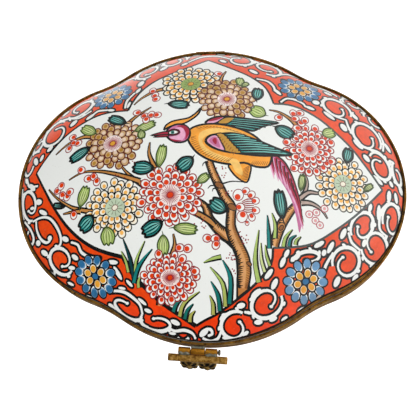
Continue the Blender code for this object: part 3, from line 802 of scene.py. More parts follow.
def build_band(name, node, body, face_z, way, brass):
    """Draw one band: a ring of points on the outline, extruded along its section and bridged to its start."""
    bpy.ops.object.select_all(action="DESELECT")
    bpy.ops.mesh.primitive_circle_add(vertices=BAND_POINTS, radius=1.0)
    band = bpy.context.active_object
    band.name = band.data.name = name
    for corner in band.data.vertices:
        corner.co.y += PLAN_CENTRE_Y * MM
    bpy.ops.object.mode_set(mode="EDIT")
    bpy.ops.mesh.select_mode(type="EDGE")
    bpy.ops.mesh.select_all(action="SELECT")
    for number, (inset, distance) in enumerate(BAND_SECTION):
        if number:
            bpy.ops.mesh.extrude_edges_move()
        shape = bmesh.from_edit_mesh(band.data)
        ring = [corner for corner in shape.verts if corner.select]
        bearings = np.array([math.atan2(corner.co.y - PLAN_CENTRE_Y * MM, corner.co.x) for corner in ring])
        dents = sum(depth * np.sin(times * bearings + begin) for depth, times, begin in BAND_DENTS)
        bent = np.maximum(dents, 0.0) + inset if inset < BAND_THICKNESS * 0.5 else inset
        points = plan_points(bearings, outline_radius(bearings, bent), face_z + way * distance)
        for corner, point in zip(ring, points):
            corner.co = point
        bmesh.update_edit_mesh(band.data)
    pick("edges", lambda edge: len(edge.link_faces) == 1)
    bpy.ops.mesh.bridge_edge_loops()
    bpy.ops.mesh.select_all(action="SELECT")
    bpy.ops.mesh.normals_make_consistent(inside=False)
    bpy.ops.object.mode_set(mode="OBJECT")
    band.data.materials.append(brass)
    bpy.ops.object.shade_smooth_by_angle(angle=math.radians(40.0))
    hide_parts(node)
    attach(band, body)


build_band("body_band", "body_mount", "base", BODY_HEIGHT, -1, body_band_in_shade)
build_band("lid_band", "lid_mount", "lid", LID_BAND_Z, 1, lid_band_brass)

# Faience lid, lid_shell: a hollow lobed dome of the same tin-glazed faience, cemented into its brass band. In
# the same enamels it has a bird among flowering branches, and round them white scrolls on iron red. The
# drawing lies flat in the glaze: it is cut into the mesh as colour and stands nowhere proud.
LID_EDGE_Z, DOME_BASE_Z, DOME_RISE, DOME_POWER = 46.7, 49.8, 27.0, 0.85


def dome_radius(bearings, share, inset):
    """Return the radius of a dome's ring: lobed at the rim and turning to an ellipse towards the top."""
    long, short = HALF_LENGTH - inset, HALF_DEPTH - inset
    ellipse = long * short / np.hypot(short * np.cos(bearings), long * np.sin(bearings))
    return share * ((1.0 - share**2) * ellipse + share**2 * outline_radius(bearings, inset))


def lid_dome(places):
    """Return the points of the lid's outer face over places in the plan."""
    bearings, out = np.arctan2(places[:, 1], places[:, 0]), np.hypot(places[:, 0], places[:, 1])
    lobed = outline_radius(bearings, SHELL_INSET)
    near = 0.01
    ellipse = dome_radius(bearings, near, SHELL_INSET) / near
    share = np.minimum(out / lobed, 1.0)
    for _ in range(12):
        miss = share * ((1.0 - share**2) * ellipse + share**2 * lobed) - out
        share -= miss / (ellipse + 3.0 * share**2 * (lobed - ellipse))
    rise = np.maximum(1.0 - np.minimum(share, 1.0)**2, 0.0)**DOME_POWER
    return plan_points(bearings, out, DOME_BASE_Z + DOME_RISE * rise)


# Border scrolls: place, size across and along, tilt, bearing where the stroke starts, way round, sweep
SCROLLS = (
    (9.3, -53.0, 5.1, 4.2, 18, 60, 1, 335), (20.7, -46.0, 5.8, 4.3, 28, 28, -1, 425),
    (35.0, -31.0, 4.6, 2.2, 12, 200, -1, 300), (49.4, -31.0, 5.3, 4.6, 25, 200, -1, 430),
    (60.6, -25.3, 5.5, 5.3, 35, 190, 1, 395), (55.6, -18.6, 5.6, 3.8, 55, 215, -1, 395),
    (67.6, -14.3, 5.8, 3.7, 80, 200, -1, 400), (64.2, 5.4, 5.6, 3.9, -65, 150, -1, 430),
    (60.0, 16.9, 6.6, 5.2, -55, -35, 1, 400), (49.2, 28.4, 6.0, 4.5, -35, -30, 1, 400),
    (71.3, 3.9, 4.6, 1.9, -82, 100, 1, 330), (64.0, 27.0, 4.2, 3.2, -40, 180, -1, 380),
    (12.4, 52.6, 5.2, 4.0, -20, 140, -1, 400), (23.6, 47.4, 5.2, 3.8, -30, 250, 1, 400),
    (55.6, 33.6, 3.6, 2.6, -30, 200, -1, 340), (-13.8, 53.4, 5.0, 3.8, 20, -10, 1, 400),
    (-24.6, 47.4, 4.8, 3.7, 40, -60, -1, 400), (-50.6, 31.4, 5.6, 3.6, 30, -150, 1, 390),
    (-60.2, 21.7, 6.0, 4.7, 55, 55, 1, 400), (-67.6, 18.4, 3.4, 2.0, 60, 90, 1, 380),
    (-68.9, -7.2, 6.1, 3.2, 107, -73, -1, 405), (-54.7, -29.3, 5.5, 3.9, -40, -40, -1, 410),
    (-29.4, -46.4, 6.0, 3.1, -33, -33, -1, 245), (-19.4, -51.6, 5.6, 2.8, -12, 150, 1, 310),
)

# Strokes that tie the scrolls together
TENDRILS = (
    ((15.4, -49.2), (13.0, -48.9)), ((4.4, -54.6), (3.0, -57.2), (0.4, -58.1), (-2.2, -57.2)),
    ((5.0, -57.0), (8.0, -57.9), (11.4, -56.9)),
    ((-2.4, -55.7), (-1.2, -54.4), (0.6, -54.5), (1.0, -55.8), (-0.2, -56.3)),
    ((40.6, -37.4), (41.8, -33.0), (44.4, -28.8)), ((54.6, -26.6), (51.6, -24.6), (50.4, -21.6)),
    ((59.2, -31.4), (62.2, -34.0), (58.4, -37.6)),
    ((65.6, -20.6), (62.6, -18.4), (63.2, -12.6), (66.0, -9.0)),
    ((56.4, 12.2), (60.2, 11.6), (64.6, 11.0), (67.4, 8.0)), ((52.2, 23.0), (53.2, 18.6), (56.6, 13.6)),
    ((43.4, 31.0), (44.2, 27.6), (47.8, 24.2), (52.0, 23.2)), ((66.2, 12.4), (66.8, 16.4), (65.6, 20.4)),
    ((-24.4, -49.2), (-25.2, -50.6), (-24.4, -52.0), (-22.6, -53.0)),
    ((-36.0, -40.7), (-33.0, -40.8), (-30.0, -41.6), (-27.0, -43.6), (-24.8, -45.8), (-24.1, -48.6)),
    ((-14.2, -53.8), (-12.4, -54.7), (-9.0, -54.5), (-6.2, -55.5), (-5.2, -57.0)),
    ((-11.4, -56.9), (-9.6, -57.9), (-7.8, -57.1)),
    ((-65.4, -14.0), (-65.1, -17.0), (-63.5, -20.2), (-61.2, -22.0), (-59.4, -21.8), (-58.9, -20.8)),
    ((-66.6, -13.4), (-62.8, -12.8), (-59.2, -13.8), (-56.3, -17.0), (-54.5, -20.8), (-54.7, -23.6),
     (-57.0, -24.8)),
    ((-71.0, -12.8), (-68.2, -16.2), (-66.8, -19.4), (-67.5, -21.3), (-69.2, -20.6), (-70.2, -18.2),
     (-69.4, -16.8)),
    ((-73.2, 0.4), (-72.9, -3.6), (-72.9, -8.0), (-71.8, -11.4)),
    ((-49.8, -23.6), (-47.4, -24.7), (-46.0, -27.4), (-42.6, -29.3), (-39.0, -30.0)),
    ((-73.0, 11.4), (-72.9, 7.8), (-71.2, 5.6), (-69.4, 6.8), (-68.6, 8.8)),
    ((-71.0, 4.0), (-69.4, 0.6), (-65.6, -0.2)),
    ((-45.6, 28.6), (-50.2, 26.4), (-55.0, 27.6), (-60.4, 27.4), (-65.0, 23.4)),
    ((-44.6, 25.8), (-42.4, 27.8), (-38.6, 27.4)), ((-31.2, 27.2), (-30.8, 31.0), (-28.4, 34.6)),
    ((19.0, 39.6), (22.8, 38.8), (25.0, 36.2), (25.4, 33.8)),
    ((27.6, 28.0), (29.8, 30.0), (33.0, 29.8), (35.8, 28.2), (36.6, 26.8)),
    ((-8.0, 51.0), (-3.0, 54.6), (3.0, 55.2), (8.0, 53.0)), ((28.6, 45.0), (32.0, 46.4), (36.0, 45.8)),
    ((41.0, 41.6), (46.0, 39.4), (50.0, 36.4)), ((-30.0, 45.6), (-34.0, 45.8), (-38.6, 44.0)),
)

# Drops of bare glaze between the scrolls: place, half length, half width, tilt
DROPS = (
    (-2.0, -55.4, 2.0, 1.1, 35), (5.4, -50.4, 2.0, 0.9, 35), (11.5, -46.9, 1.6, 1.0, 15),
    (16.9, -42.9, 2.4, 1.0, 38), (23.4, -39.7, 2.1, 1.0, 62), (21.4, -36.6, 2.2, 0.9, 50),
    (17.6, -51.9, 1.6, 0.9, 8), (22.9, -50.7, 1.6, 0.8, 25), (27.0, -50.4, 1.4, 0.6, 35),
    (26.4, -32.6, 2.0, 0.9, 65), (27.8, -29.8, 1.6, 0.8, 60), (12.9, -55.6, 1.4, 0.7, 32),
    (30.9, -31.0, 2.2, 0.9, 35), (39.4, -26.2, 2.2, 0.9, 30), (41.2, -28.8, 1.2, 0.9, 60),
    (43.6, -26.9, 2.4, 0.9, 60), (48.4, -21.9, 2.2, 1.0, 62), (46.2, -37.6, 2.0, 1.1, 62),
    (53.2, -35.8, 1.6, 0.9, 50), (56.4, -24.2, 1.5, 0.9, 70), (59.6, -17.6, 1.8, 0.8, 80),
    (59.0, -11.6, 1.7, 0.8, 72), (62.4, -12.8, 3.0, 0.9, 84), (67.0, -6.0, 2.4, 1.0, 82),
    (70.0, -6.0, 2.2, 0.8, 96), (68.0, -21.6, 2.0, 0.9, 62), (60.0, -33.4, 1.6, 0.8, 45),
    (47.4, -40.8, 1.6, 0.7, 25), (62.8, -0.6, 2.5, 0.9, -42), (68.3, -1.0, 1.3, 0.8, -65),
    (72.4, -2.4, 2.0, 0.9, -75), (56.0, 12.7, 2.6, 1.1, -45), (50.9, 19.2, 1.9, 1.3, -60),
    (45.6, 23.8, 2.8, 0.9, -40), (41.0, 29.8, 1.5, 1.3, 0), (68.4, 7.6, 1.8, 0.9, 70),
    (68.4, 14.4, 2.3, 0.9, -60), (58.8, 7.4, 1.8, 1.1, -50), (26.4, 33.2, 2.1, 0.8, -50),
    (38.4, 26.3, 1.9, 0.8, -20), (-29.9, 28.4, 1.8, 0.6, 75), (-27.0, 35.8, 1.6, 0.8, 60),
    (-26.4, 40.0, 1.8, 1.3, 65), (-36.9, 27.0, 1.6, 0.7, -15), (-45.2, 25.7, 2.2, 0.8, 35),
    (-52.3, 24.3, 1.9, 1.1, 45), (-61.4, 14.6, 1.6, 1.0, 40), (-64.8, 11.4, 1.6, 0.8, 70),
    (-34.0, -31.6, 2.0, 0.8, -8), (-32.4, -35.2, 2.8, 0.8, -58), (-28.2, -38.8, 1.7, 0.6, -45),
    (-23.8, -44.9, 2.0, 0.6, -38), (-21.9, -47.9, 1.5, 0.7, -22), (-12.1, -52.0, 1.9, 0.9, -22),
    (-48.8, -28.7, 1.6, 0.9, -35), (-52.5, -22.1, 1.6, 1.0, -28), (-62.2, -11.1, 2.2, 0.9, -30),
    (-64.4, -6.7, 1.6, 1.2, -20), (-67.4, -8.4, 1.1, 0.7, -10), (-68.0, -0.1, 2.3, 1.0, -48),
    (-61.9, -25.5, 1.8, 1.0, -32), (-64.6, -21.6, 1.2, 1.1, -30), (-50.4, -32.0, 1.5, 0.7, -12),
    (-59.2, -20.8, 1.0, 1.0, 0), (-31.2, -40.1, 1.5, 0.5, -12), (-44.6, -41.8, 1.5, 0.45, -25),
    (-51.6, -37.0, 1.5, 0.5, -25), (-36.2, -45.2, 1.4, 0.7, -32), (-29.4, -49.8, 1.5, 0.6, -18),
    (-13.4, -55.4, 1.4, 0.5, -8), (-21.6, -54.6, 1.2, 0.6, -30), (17.6, 44.2, 2.0, 1.0, -35),
    (29.8, 40.4, 1.6, 1.0, -40), (18.2, 52.4, 2.0, 0.9, -20), (5.6, 50.8, 1.7, 0.9, -35),
    (4.6, 57.2, 1.7, 0.8, 0), (-5.4, 57.0, 1.8, 0.8, 5), (-18.0, 48.2, 1.9, 1.0, 40),
    (-20.6, 53.4, 1.9, 0.9, 30), (-9.6, 49.6, 1.6, 0.8, 35), (-31.4, 49.4, 1.8, 0.8, 30),
    (-44.6, 39.4, 2.0, 0.9, 30), (-57.6, 31.8, 1.9, 0.9, 45), (56.0, 26.0, 1.9, 1.0, -50),
    (46.6, 36.8, 1.9, 0.9, -30), (60.4, 31.4, 1.8, 0.8, -45), (70.4, 21.4, 1.7, 0.8, -65),
    (-71.4, 13.4, 1.8, 0.8, 70), (-67.6, 10.7, 2.0, 1.1, 115), (-71.4, 3.5, 1.4, 0.6, 110),
    (-59.2, -32.9, 1.8, 0.5, -38), (33.6, -47.0, 2.0, 0.7, 25), (39.4, -44.4, 1.8, 0.7, 30),
    (52.6, -38.6, 1.6, 0.7, 35), (66.4, -28.0, 1.8, 0.8, 55), (71.6, -18.6, 1.6, 0.8, 72),
)
scrollwork(SCROLLS, TENDRILS, DROPS, 1.08)


def rosette(x, y, long, wide, tilt, tip="cobalt"):
    """Paint a blue border flower: twelve petals, white to blue, round six gold ones and a blue heart."""
    # Each wash of a petal: enamel, shift outward, share of the length and share of the width
    blue_washes = (("scroll_white", 0.0, 1.0, 1.0), ("pale_cobalt", 0.25, 0.88, 0.96),
                   (tip, 0.42, 0.68, 0.86))
    gold_washes = (("cream", 0.0, 1.0, 1.0), ("ochre", -0.1, 0.86, 0.88))
    for count, share, half_long, half_wide, offset, washes in (
        (12, 0.77, 1.78, 1.30, 0.3, blue_washes),
        (6, 0.38, 1.35, 1.15, 0.0, gold_washes),
    ):
        petals = []
        for number in range(count):
            bearing = math.tau * (number + offset) / count
            px, py = long * share * math.cos(bearing), wide * share * math.sin(bearing)
            (px, py), = turned(x, y, tilt, [(px, py)])
            petals.append((px, py, math.degrees(math.atan2(py - y, px - x))))
        for px, py, out in petals:
            spot("black_line", px, py, half_long + 0.55, half_wide + 0.55, out)
        for px, py, out in petals:
            c, s = math.cos(math.radians(out)), math.sin(math.radians(out))
            for enamel, shift, along, across in washes:
                spot(enamel, px + shift * c, py + shift * s, half_long * along, half_wide * across, out)
    spot("cobalt", x, y, 1.15, 0.9, tilt, edge="black_line")


for corner_flower in (
    (-37.4, 35.4, 7.8, 6.4, 25),
    (35.2, 36.4, 8.2, 6.4, -15),
    (-41.2, -35.6, 8.4, 6.2, -25),
    (34.6, -38.3, 8.2, 6.8, 20, "pale_cobalt"),
):
    rosette(*corner_flower)

# Along the front right edge the red has worn off in small chips
for x, y, half_long, half_wide, tilt in (
    (20.8, -55.3, 1.8, 0.4, 20), (24.4, -53.4, 2.2, 0.5, 28), (28.0, -51.3, 1.2, 0.4, 32),
    (33.4, -47.8, 1.8, 0.5, 33), (37.2, -45.4, 2.4, 0.8, 36), (39.6, -43.4, 1.6, 0.9, 62),
    (44.6, -41.9, 1.6, 0.4, 25), (15.6, -57.2, 1.8, 0.3, 12),
):
    spot("worn_glaze", x, y, half_long, half_wide, tilt, steps=7)
    spot("grime", x + 0.4 * half_long, y, 0.5, 0.2, tilt, steps=5)

# Panel of bare glaze: its eight bowed sides, each with the width of its drawn line
PANEL_SIDES = (
    (0.8, (
        (-0.3, 51.5), (4.5, 48.2), (10.0, 44.7), (15.0, 41.6), (18.6, 38.6), (21.4, 35.6), (23.2, 32.0),
        (24.7, 26.6),
    )),
    (0.9, (
        (24.7, 26.6), (30.0, 26.7), (35.5, 25.0), (42.0, 21.0), (48.0, 15.5), (53.0, 10.5), (57.5, 4.8),
        (64.4, -4.2),
    )),
    (0.8, (
        (64.4, -4.2), (60.2, -8.6), (55.0, -13.6), (50.0, -17.8), (45.0, -21.4), (39.0, -25.2),
        (33.0, -27.3), (23.0, -28.2),
    )),
    (0.9, (
        (23.0, -28.2), (22.4, -33.0), (19.0, -37.6), (14.5, -41.8), (9.0, -45.8), (3.0, -49.6),
        (-1.5, -51.6), (-4.7, -53.3),
    )),
    (1.5, (
        (-4.7, -53.3), (-9.0, -50.6), (-14.0, -47.4), (-19.0, -43.6), (-24.0, -39.0), (-27.6, -34.8),
        (-30.2, -30.2),
    )),
    (1.4, (
        (-30.2, -30.2), (-35.0, -28.8), (-41.0, -26.4), (-47.0, -22.4), (-52.5, -16.9), (-57.6, -9.9),
        (-62.0, -2.6), (-66.6, 5.2),
    )),
    (0.8, (
        (-66.6, 5.2), (-63.2, 9.9), (-58.0, 15.8), (-53.2, 19.9), (-48.0, 23.0), (-42.0, 25.3),
        (-36.0, 25.9), (-29.8, 25.4),
    )),
    (0.9, (
        (-29.8, 25.4), (-28.7, 29.0), (-26.6, 33.6), (-23.6, 37.4), (-19.2, 40.9), (-13.0, 44.3),
        (-6.5, 47.6), (-0.3, 51.5),
    )),
)
lay("bare_glaze", [point for _, side in PANEL_SIDES for point in flow(side, 3)[:-1]])
# The two sides at the right are drawn in grey, not black: painted sheen over the line there
for number, (width, side) in enumerate(PANEL_SIDES):
    brush("sheen_grey_line" if number in (1, 2) else "black_line", side,
          (width, width * (0.6 if number == 5 else 0.95)), 3)

# Branches: thin twigs first, and over them the stout limbs that come up from the foot
TWIGS = (
    ((-31.5, 2.8), (-29.0, -0.6), (-25.2, -4.2), (-21.2, -7.2)),
    ((-51.4, -0.8), (-46.0, 1.2), (-40.0, 0.8), (-34.0, -0.8), (-28.0, -3.0), (-23.6, -4.8)),
    ((-60.0, -2.8), (-56.0, -7.0), (-50.0, -11.2), (-45.0, -13.0), (-41.0, -14.0)),
    ((-53.4, -13.2), (-49.0, -13.0), (-46.0, -13.2)),
    ((-58.2, 11.0), (-53.0, 14.6), (-47.0, 16.2), (-42.6, 15.4)),
    ((-20.8, 25.8), (-27.0, 21.4), (-30.2, 17.6)),
    ((-27.8, 28.0), (-24.8, 31.2), (-20.0, 34.0), (-15.0, 34.8)), ((7.0, 43.6), (5.2, 39.2), (4.8, 35.5)),
    ((22.8, 23.4), (26.6, 22.6), (31.0, 19.4), (33.6, 15.8)), ((-20.4, 10.0), (-20.4, 5.0), (-17.4, -1.8)),
    ((33.8, -0.4), (35.6, -4.8), (34.4, -9.2), (31.0, -13.6)),
    ((44.0, -5.6), (40.0, -8.6), (36.0, -8.8), (32.4, -11.6)),
    ((42.6, -17.4), (40.4, -14.4), (36.8, -12.6), (33.2, -12.6)),
    ((-11.6, -23.6), (-11.2, -27.4), (-12.6, -31.4)),
)
# Three twigs at the right are pale and greyish: painted sheen on their bark
SHEENED_TWIGS = (10, 11, 12)
for index, twig in enumerate(TWIGS):
    limb(twig, (0.05, 0.35, 0.8, 1.2), "sheen_paled_bark" if index in SHEENED_TWIGS else "bark")
limb(((-17.4, -46.6), (-16.8, -43.6)), (1.6, 1.6))
limb((
    (-3.4, -12.2), (-0.8, -14.2), (0.2, -15.8), (1.2, -19.0), (3.8, -22.0), (6.8, -24.4), (9.8, -27.4),
), (0.7, 1.2, 1.7, 2.0, 2.4, 2.8, 2.4))
limb(((-5.4, -16.2), (-2.2, -17.6), (1.0, -19.6), (3.0, -21.4)), (0.9, 1.2, 1.4, 0.8))
patch("bark", [(10.2, -44.7), (12.2, -43.2), (14.5, -41.5), (14.6, -38.0), (10.4, -38.0)], 1)
limb((
    (12.3, -41.4), (12.4, -40.0), (12.8, -36.0), (12.5, -32.0), (10.8, -28.0), (9.0, -24.0), (8.4, -21.0),
    (8.6, -17.6), (8.6, -14.8), (6.6, -11.8), (5.0, -8.6), (3.6, -5.6), (2.1, -2.0), (0.9, 1.8),
), (2.6, 3.4, 4.0, 3.6, 3.2, 3.0, 2.4, 2.2, 2.4, 2.2, 2.0, 2.0, 1.8, 1.6))
brush("black_line", [
    (0.2, -20.4), (4.4, -25.0), (8.0, -27.4), (10.0, -30.4), (10.4, -35.0), (10.6, -41.0),
], (0.4, 0.9, 1.1, 0.9, 0.6, 0.4))
for x, y, size in ((4.6, -7.4, 1.5), (9.0, -15.0, 1.5), (14.6, -33.6, 0.8)):
    spot("bark_shade", x, y, size, size * 0.6, -30.0, edge="black_line")
for line in (((3.4, -7.6), (1.6, -7.6), (0.6, -8.6)), ((4.0, -8.6), (2.6, -8.6), (2.2, -9.6)),
             ((0.8, 0.8), (-0.8, 0.8), (-1.2, -0.4)), ((6.0, -6.8), (9.4, -6.0), (14.4, -6.4))):
    brush("black_line", line, (0.6, 0.45, 0.25), 4)
limb(((23.3, -27.6), (23.9, -25.6), (25.8, -21.0), (28.4, -17.0), (31.0, -13.8)), (2.6, 2.4, 2.4, 2.0, 1.4))
spot("bark", 25.8, -21.4, 1.7, 1.2, 50, edge="black_line")
spot("bark_shade", 26.0, -21.5, 0.9, 0.5, 50, edge="black_line", line=0.30)


def blade(points, enamel, width):
    """Paint a blade of grass, dark down one side."""
    side = [(x + 0.22, y - 0.12) for x, y in points]
    brush("black_line", side, (width + 0.95, width * 0.8 + 0.9, 0.5), 4)
    brush(enamel, points, (width, width * 0.8, 0.15), 4)


for line, enamel, width in (
    (((-26.4, -38.4), (-27.6, -31.0), (-30.0, -24.2)), "deep_teal", 1.0),
    (((-28.4, -35.2), (-29.2, -31.6), (-30.8, -28.2)), "leaf", 0.9),
    (((-25.8, -38.0), (-25.4, -32.0), (-22.0, -25.4)), "leaf", 0.9),
    (((-26.6, -38.8), (-24.4, -33.4), (-19.4, -28.2)), "teal", 1.2),
    (((-24.8, -40.4), (-24.8, -38.4), (-23.6, -36.2)), "leaf", 1.0),
    (((-12.6, -48.6), (-11.4, -46.2), (-9.2, -44.6)), "teal", 1.2),
    (((-10.4, -50.2), (-8.6, -46.0), (-3.0, -42.4)), "leaf", 1.2),
    (((-8.6, -51.0), (-7.6, -48.4), (-5.4, -46.2)), "teal", 1.1),
    (((-6.8, -52.0), (-6.4, -50.0), (-4.8, -48.4)), "leaf", 1.2),
    (((1.6, -49.8), (1.6, -46.4), (0.4, -43.6)), "leaf", 1.2),
    (((4.0, -48.6), (3.4, -43.6), (1.0, -39.2)), "teal", 1.2),
    (((6.0, -47.2), (5.2, -40.0), (0.8, -34.6)), "leaf", 1.2),
    (((7.4, -46.4), (7.9, -38.0), (5.2, -32.4)), "teal", 1.3),
    (((4.8, -31.4), (2.0, -32.0), (-1.4, -33.2)), "leaf", 1.0),
    (((17.8, -39.4), (16.6, -32.0), (18.0, -22.4)), "leaf", 1.4),
    (((20.0, -36.0), (18.8, -32.0), (18.6, -26.6)), "pale_leaf", 0.9),
    (((21.8, -34.0), (20.6, -30.6), (20.2, -27.2)), "leaf", 0.8),
    (((21.6, -28.4), (21.4, -23.0), (21.0, -17.4)), "teal", 1.0),
    (((23.6, -25.0), (23.8, -20.6), (22.6, -16.6)), "leaf", 1.0),
    (((26.6, -27.6), (27.4, -24.6), (29.8, -21.8)), "leaf", 1.0),
    (((28.6, -27.4), (29.2, -25.0), (31.2, -23.6)), "teal", 0.9),
    (((30.8, -26.8), (31.2, -25.4), (32.8, -24.0)), "leaf", 0.9),
):
    blade(line, enamel, width)

# Small crimson dots in loose clusters: middle, spread and count
DOT_CLUSTERS = (
    (-27.0, 1.6, 1.6, 8), (5.6, -2.8, 2.2, 10), (-2.6, -20.0, 2.4, 14), (13.0, -25.4, 2.2, 14),
    (8.2, -31.6, 1.6, 12), (-31.0, -3.4, 2.4, 8), (9.0, -36.0, 0.8, 4), (7.4, -11.0, 1.6, 6),
)
for x, y, spread, count in DOT_CLUSTERS:
    for _ in range(count):
        spot("crimson_line", x + draw.uniform(-spread, spread), y + draw.uniform(-spread, spread), 0.27,
             steps=6)

# Flowers: place, half length, half width and colouring
for flower in (
    (-6.4, 36.3, 10.6, 9.4, "gold"),
    (7.4, 27.9, 9.9, 9.3, "tan"),
    (-34.6, 11.2, 10.2, 9.6, "tan"),
    (-32.8, -13.4, 10.2, 9.4, "pale gold"),
    (48.8, -4.4, 9.2, 9.6, "pale gold"),
    (-12.6, -10.4, 10.6, 10.4, "red"),
    (37.0, 7.9, 8.9, 9.2, "red"),
    (-13.2, -37.8, 9.6, 7.6, "red"),
):
    bloom(*flower)

# A half-open flower: petals on one side only, on fine stamens
for row in range(7):
    brush("crimson_line", [
        (12.4, -13.2 - row * 0.5), (14.4, -12.2 - row * 0.75), (16.6, -12.4 - row * 0.65),
    ], (0.3, 0.42, 0.25), 3)
for x, y, size, turn in (
    (11.2, -10.8, 1.9, 250), (12.4, -18.2, 1.9, 70), (13.9, -9.4, 1.2, 200), (15.8, -10.6, 1.25, 220),
    (17.2, -12.7, 1.2, 190), (17.2, -16.0, 1.2, 180), (15.8, -18.4, 1.15, 100), (14.1, -20.4, 0.6, 90),
    (11.9, -15.0, 1.35, 180),
):
    c, s = math.cos(math.radians(turn)), math.sin(math.radians(turn))
    spot("scroll_white", x, y, size, size * 0.9, turn, "crimson_line", 0.3)
    spot("berry", x + 0.4 * size * c, y + 0.4 * size * s, min(size * 0.62, 1.05), steps=10)

# Leaves: place, half length, half width, turn and colouring
for green in (
    (-10.6, 26.0, 3.8, 2.0, -12, "teal"), (12.4, 37.2, 2.4, 1.6, 100, "green"),
    (14.2, 35.8, 1.5, 1.1, 40, "green"), (18.8, 31.0, 3.0, 2.1, 80, "teal"),
    (18.9, 22.2, 2.8, 2.8, 150, "green"), (-22.6, 16.8, 3.9, 1.8, 20, "green"),
    (-23.8, 13.8, 1.9, 1.4, -80, "green"), (28.0, 14.0, 3.5, 2.6, -32, "teal"),
    (-22.5, 0.2, 3.7, 2.5, 172, "teal"), (-16.1, 4.2, 4.2, 1.8, 80, "green"),
    (-7.3, 0.9, 3.2, 2.6, 218, "teal"), (-1.1, -5.0, 2.3, 1.5, 35, "green"),
    (-33.6, 21.3, 3.8, 1.9, 150, "teal"), (-44.9, 18.8, 3.6, 2.1, 145, "green"),
    (-47.6, 9.0, 4.3, 2.1, 208, "teal"), (-45.2, -8.0, 3.7, 2.1, 70, "green"),
    (-43.6, -17.6, 3.2, 2.7, 220, "teal"), (-35.6, -22.8, 3.0, 2.7, -85, "green"),
    (-19.0, -21.2, 3.8, 2.6, 205, "teal"), (-7.4, -22.1, 4.0, 1.9, -8, "green"),
    (-15.3, -27.1, 3.2, 2.1, -92, "green"), (4.2, -14.7, 3.1, 2.6, 146, "teal"),
    (25.9, -13.6, 4.8, 2.1, 97, "teal"), (33.6, -5.4, 2.9, 1.2, 80, "green"),
    (58.6, -4.3, 2.2, 1.1, 35, "green"), (51.4, 7.0, 3.0, 2.0, 75, "teal"),
    (44.6, 15.4, 2.5, 2.2, 20, "green"), (-55.2, -9.9, 2.5, 1.0, 165, "teal"),
):
    leaf(*green)

# Buds: place, and the bearing that the red looks to
for bud in (
    (4.0, 42.0, -20), (-21.0, 34.5, -90), (-19.8, 31.8, -120), (-19.2, 29.7, 200), (-26.2, 23.8, 0),
    (-23.0, 21.8, 160), (-20.6, 22.2, 250), (-18.2, 21.7, 170), (-22.4, 19.9, 90), (26.2, 20.1, 30),
    (31.8, 22.9, 270), (34.4, 23.1, 200), (32.4, 20.3, 200), (34.6, 18.4, 120), (36.0, 19.9, 250),
    (32.8, 16.1, 0), (39.6, 16.9, 270), (-51.6, 17.2, 0), (-50.6, 14.6, 180), (-48.8, 14.0, 180),
    (-52.6, 12.2, 60), (-46.4, 2.3, 160), (-43.6, -1.5, 0), (-41.2, -1.2, 120), (-40.0, -3.2, 90),
    (-56.0, -4.0, 200), (-54.6, -2.6, 60), (-53.9, -6.3, 90), (-51.9, -7.1, 60), (-50.7, -5.4, 200),
    (-48.9, -14.2, 90), (-9.4, -28.3, 180), (-6.6, -28.6, 200), (0.2, -25.4, 0), (3.0, -25.6, 0),
    (3.2, -27.6, 60), (-17.0, -30.2, 90), (-4.2, -36.0, 180), (-8.6, -31.9, 220), (-13.0, -45.0, 90),
    (28.9, 9.8, 200), (31.2, -0.2, 200), (45.2, 11.2, 90), (45.0, 3.8, 200),
):
    berry(*bud)

# Buds at the right, paled by painted sheen: place
for x, y in ((36.0, -16.4), (38.6, -15.6), (38.2, -18.4), (39.8, -19.8), (41.6, -14.0)):
    spot("scroll_white", x, y, 1.1, 1.0, 0, edge="sheen_paled_red", line=0.36)
    spot("sheen_paled_rose", x, y, 0.62, steps=8)

# A long-tailed bird that perches facing left: far wing, tail, body, near wing, head
far_wing = [
    (-0.4, 16.8), (1.6, 18.8), (5.2, 19.7), (10.0, 19.4), (16.0, 18.7), (22.0, 18.2), (26.2, 17.7),
    (22.4, 16.5), (19.8, 15.4), (16.6, 13.6), (12.6, 14.6), (8.0, 15.7), (3.6, 16.2),
]
patch("teal", far_wing, line=0.84)
patch("pale_rose", [
    (-0.2, 16.9), (2.0, 18.7), (5.6, 19.4), (6.6, 19.0), (4.0, 17.2), (1.6, 16.4),
], line=0.49)
patch("crimson", [(0.6, 17.6), (2.6, 18.8), (5.8, 19.4), (4.6, 18.4), (2.4, 17.7)], edge=None)
patch("wing_gold", [(4.0, 16.8), (6.8, 19.2), (10.2, 19.1), (8.8, 17.4), (7.0, 16.4)], line=0.49)
for row in range(5):
    root, tip = (9.4 - row * 0.2, 18.6 - row * 0.75), (25.4 - row * 2.0, 17.8 - row * 0.95)
    brush("light_teal", [root, ((root[0] + tip[0]) / 2, (root[1] + tip[1]) / 2), tip], (0.15, 0.3, 0.1), 2)
    brush("black_line", [(root[0], root[1] - 0.4), (tip[0], tip[1] - 0.4)], (0.5, 0.75), 2)

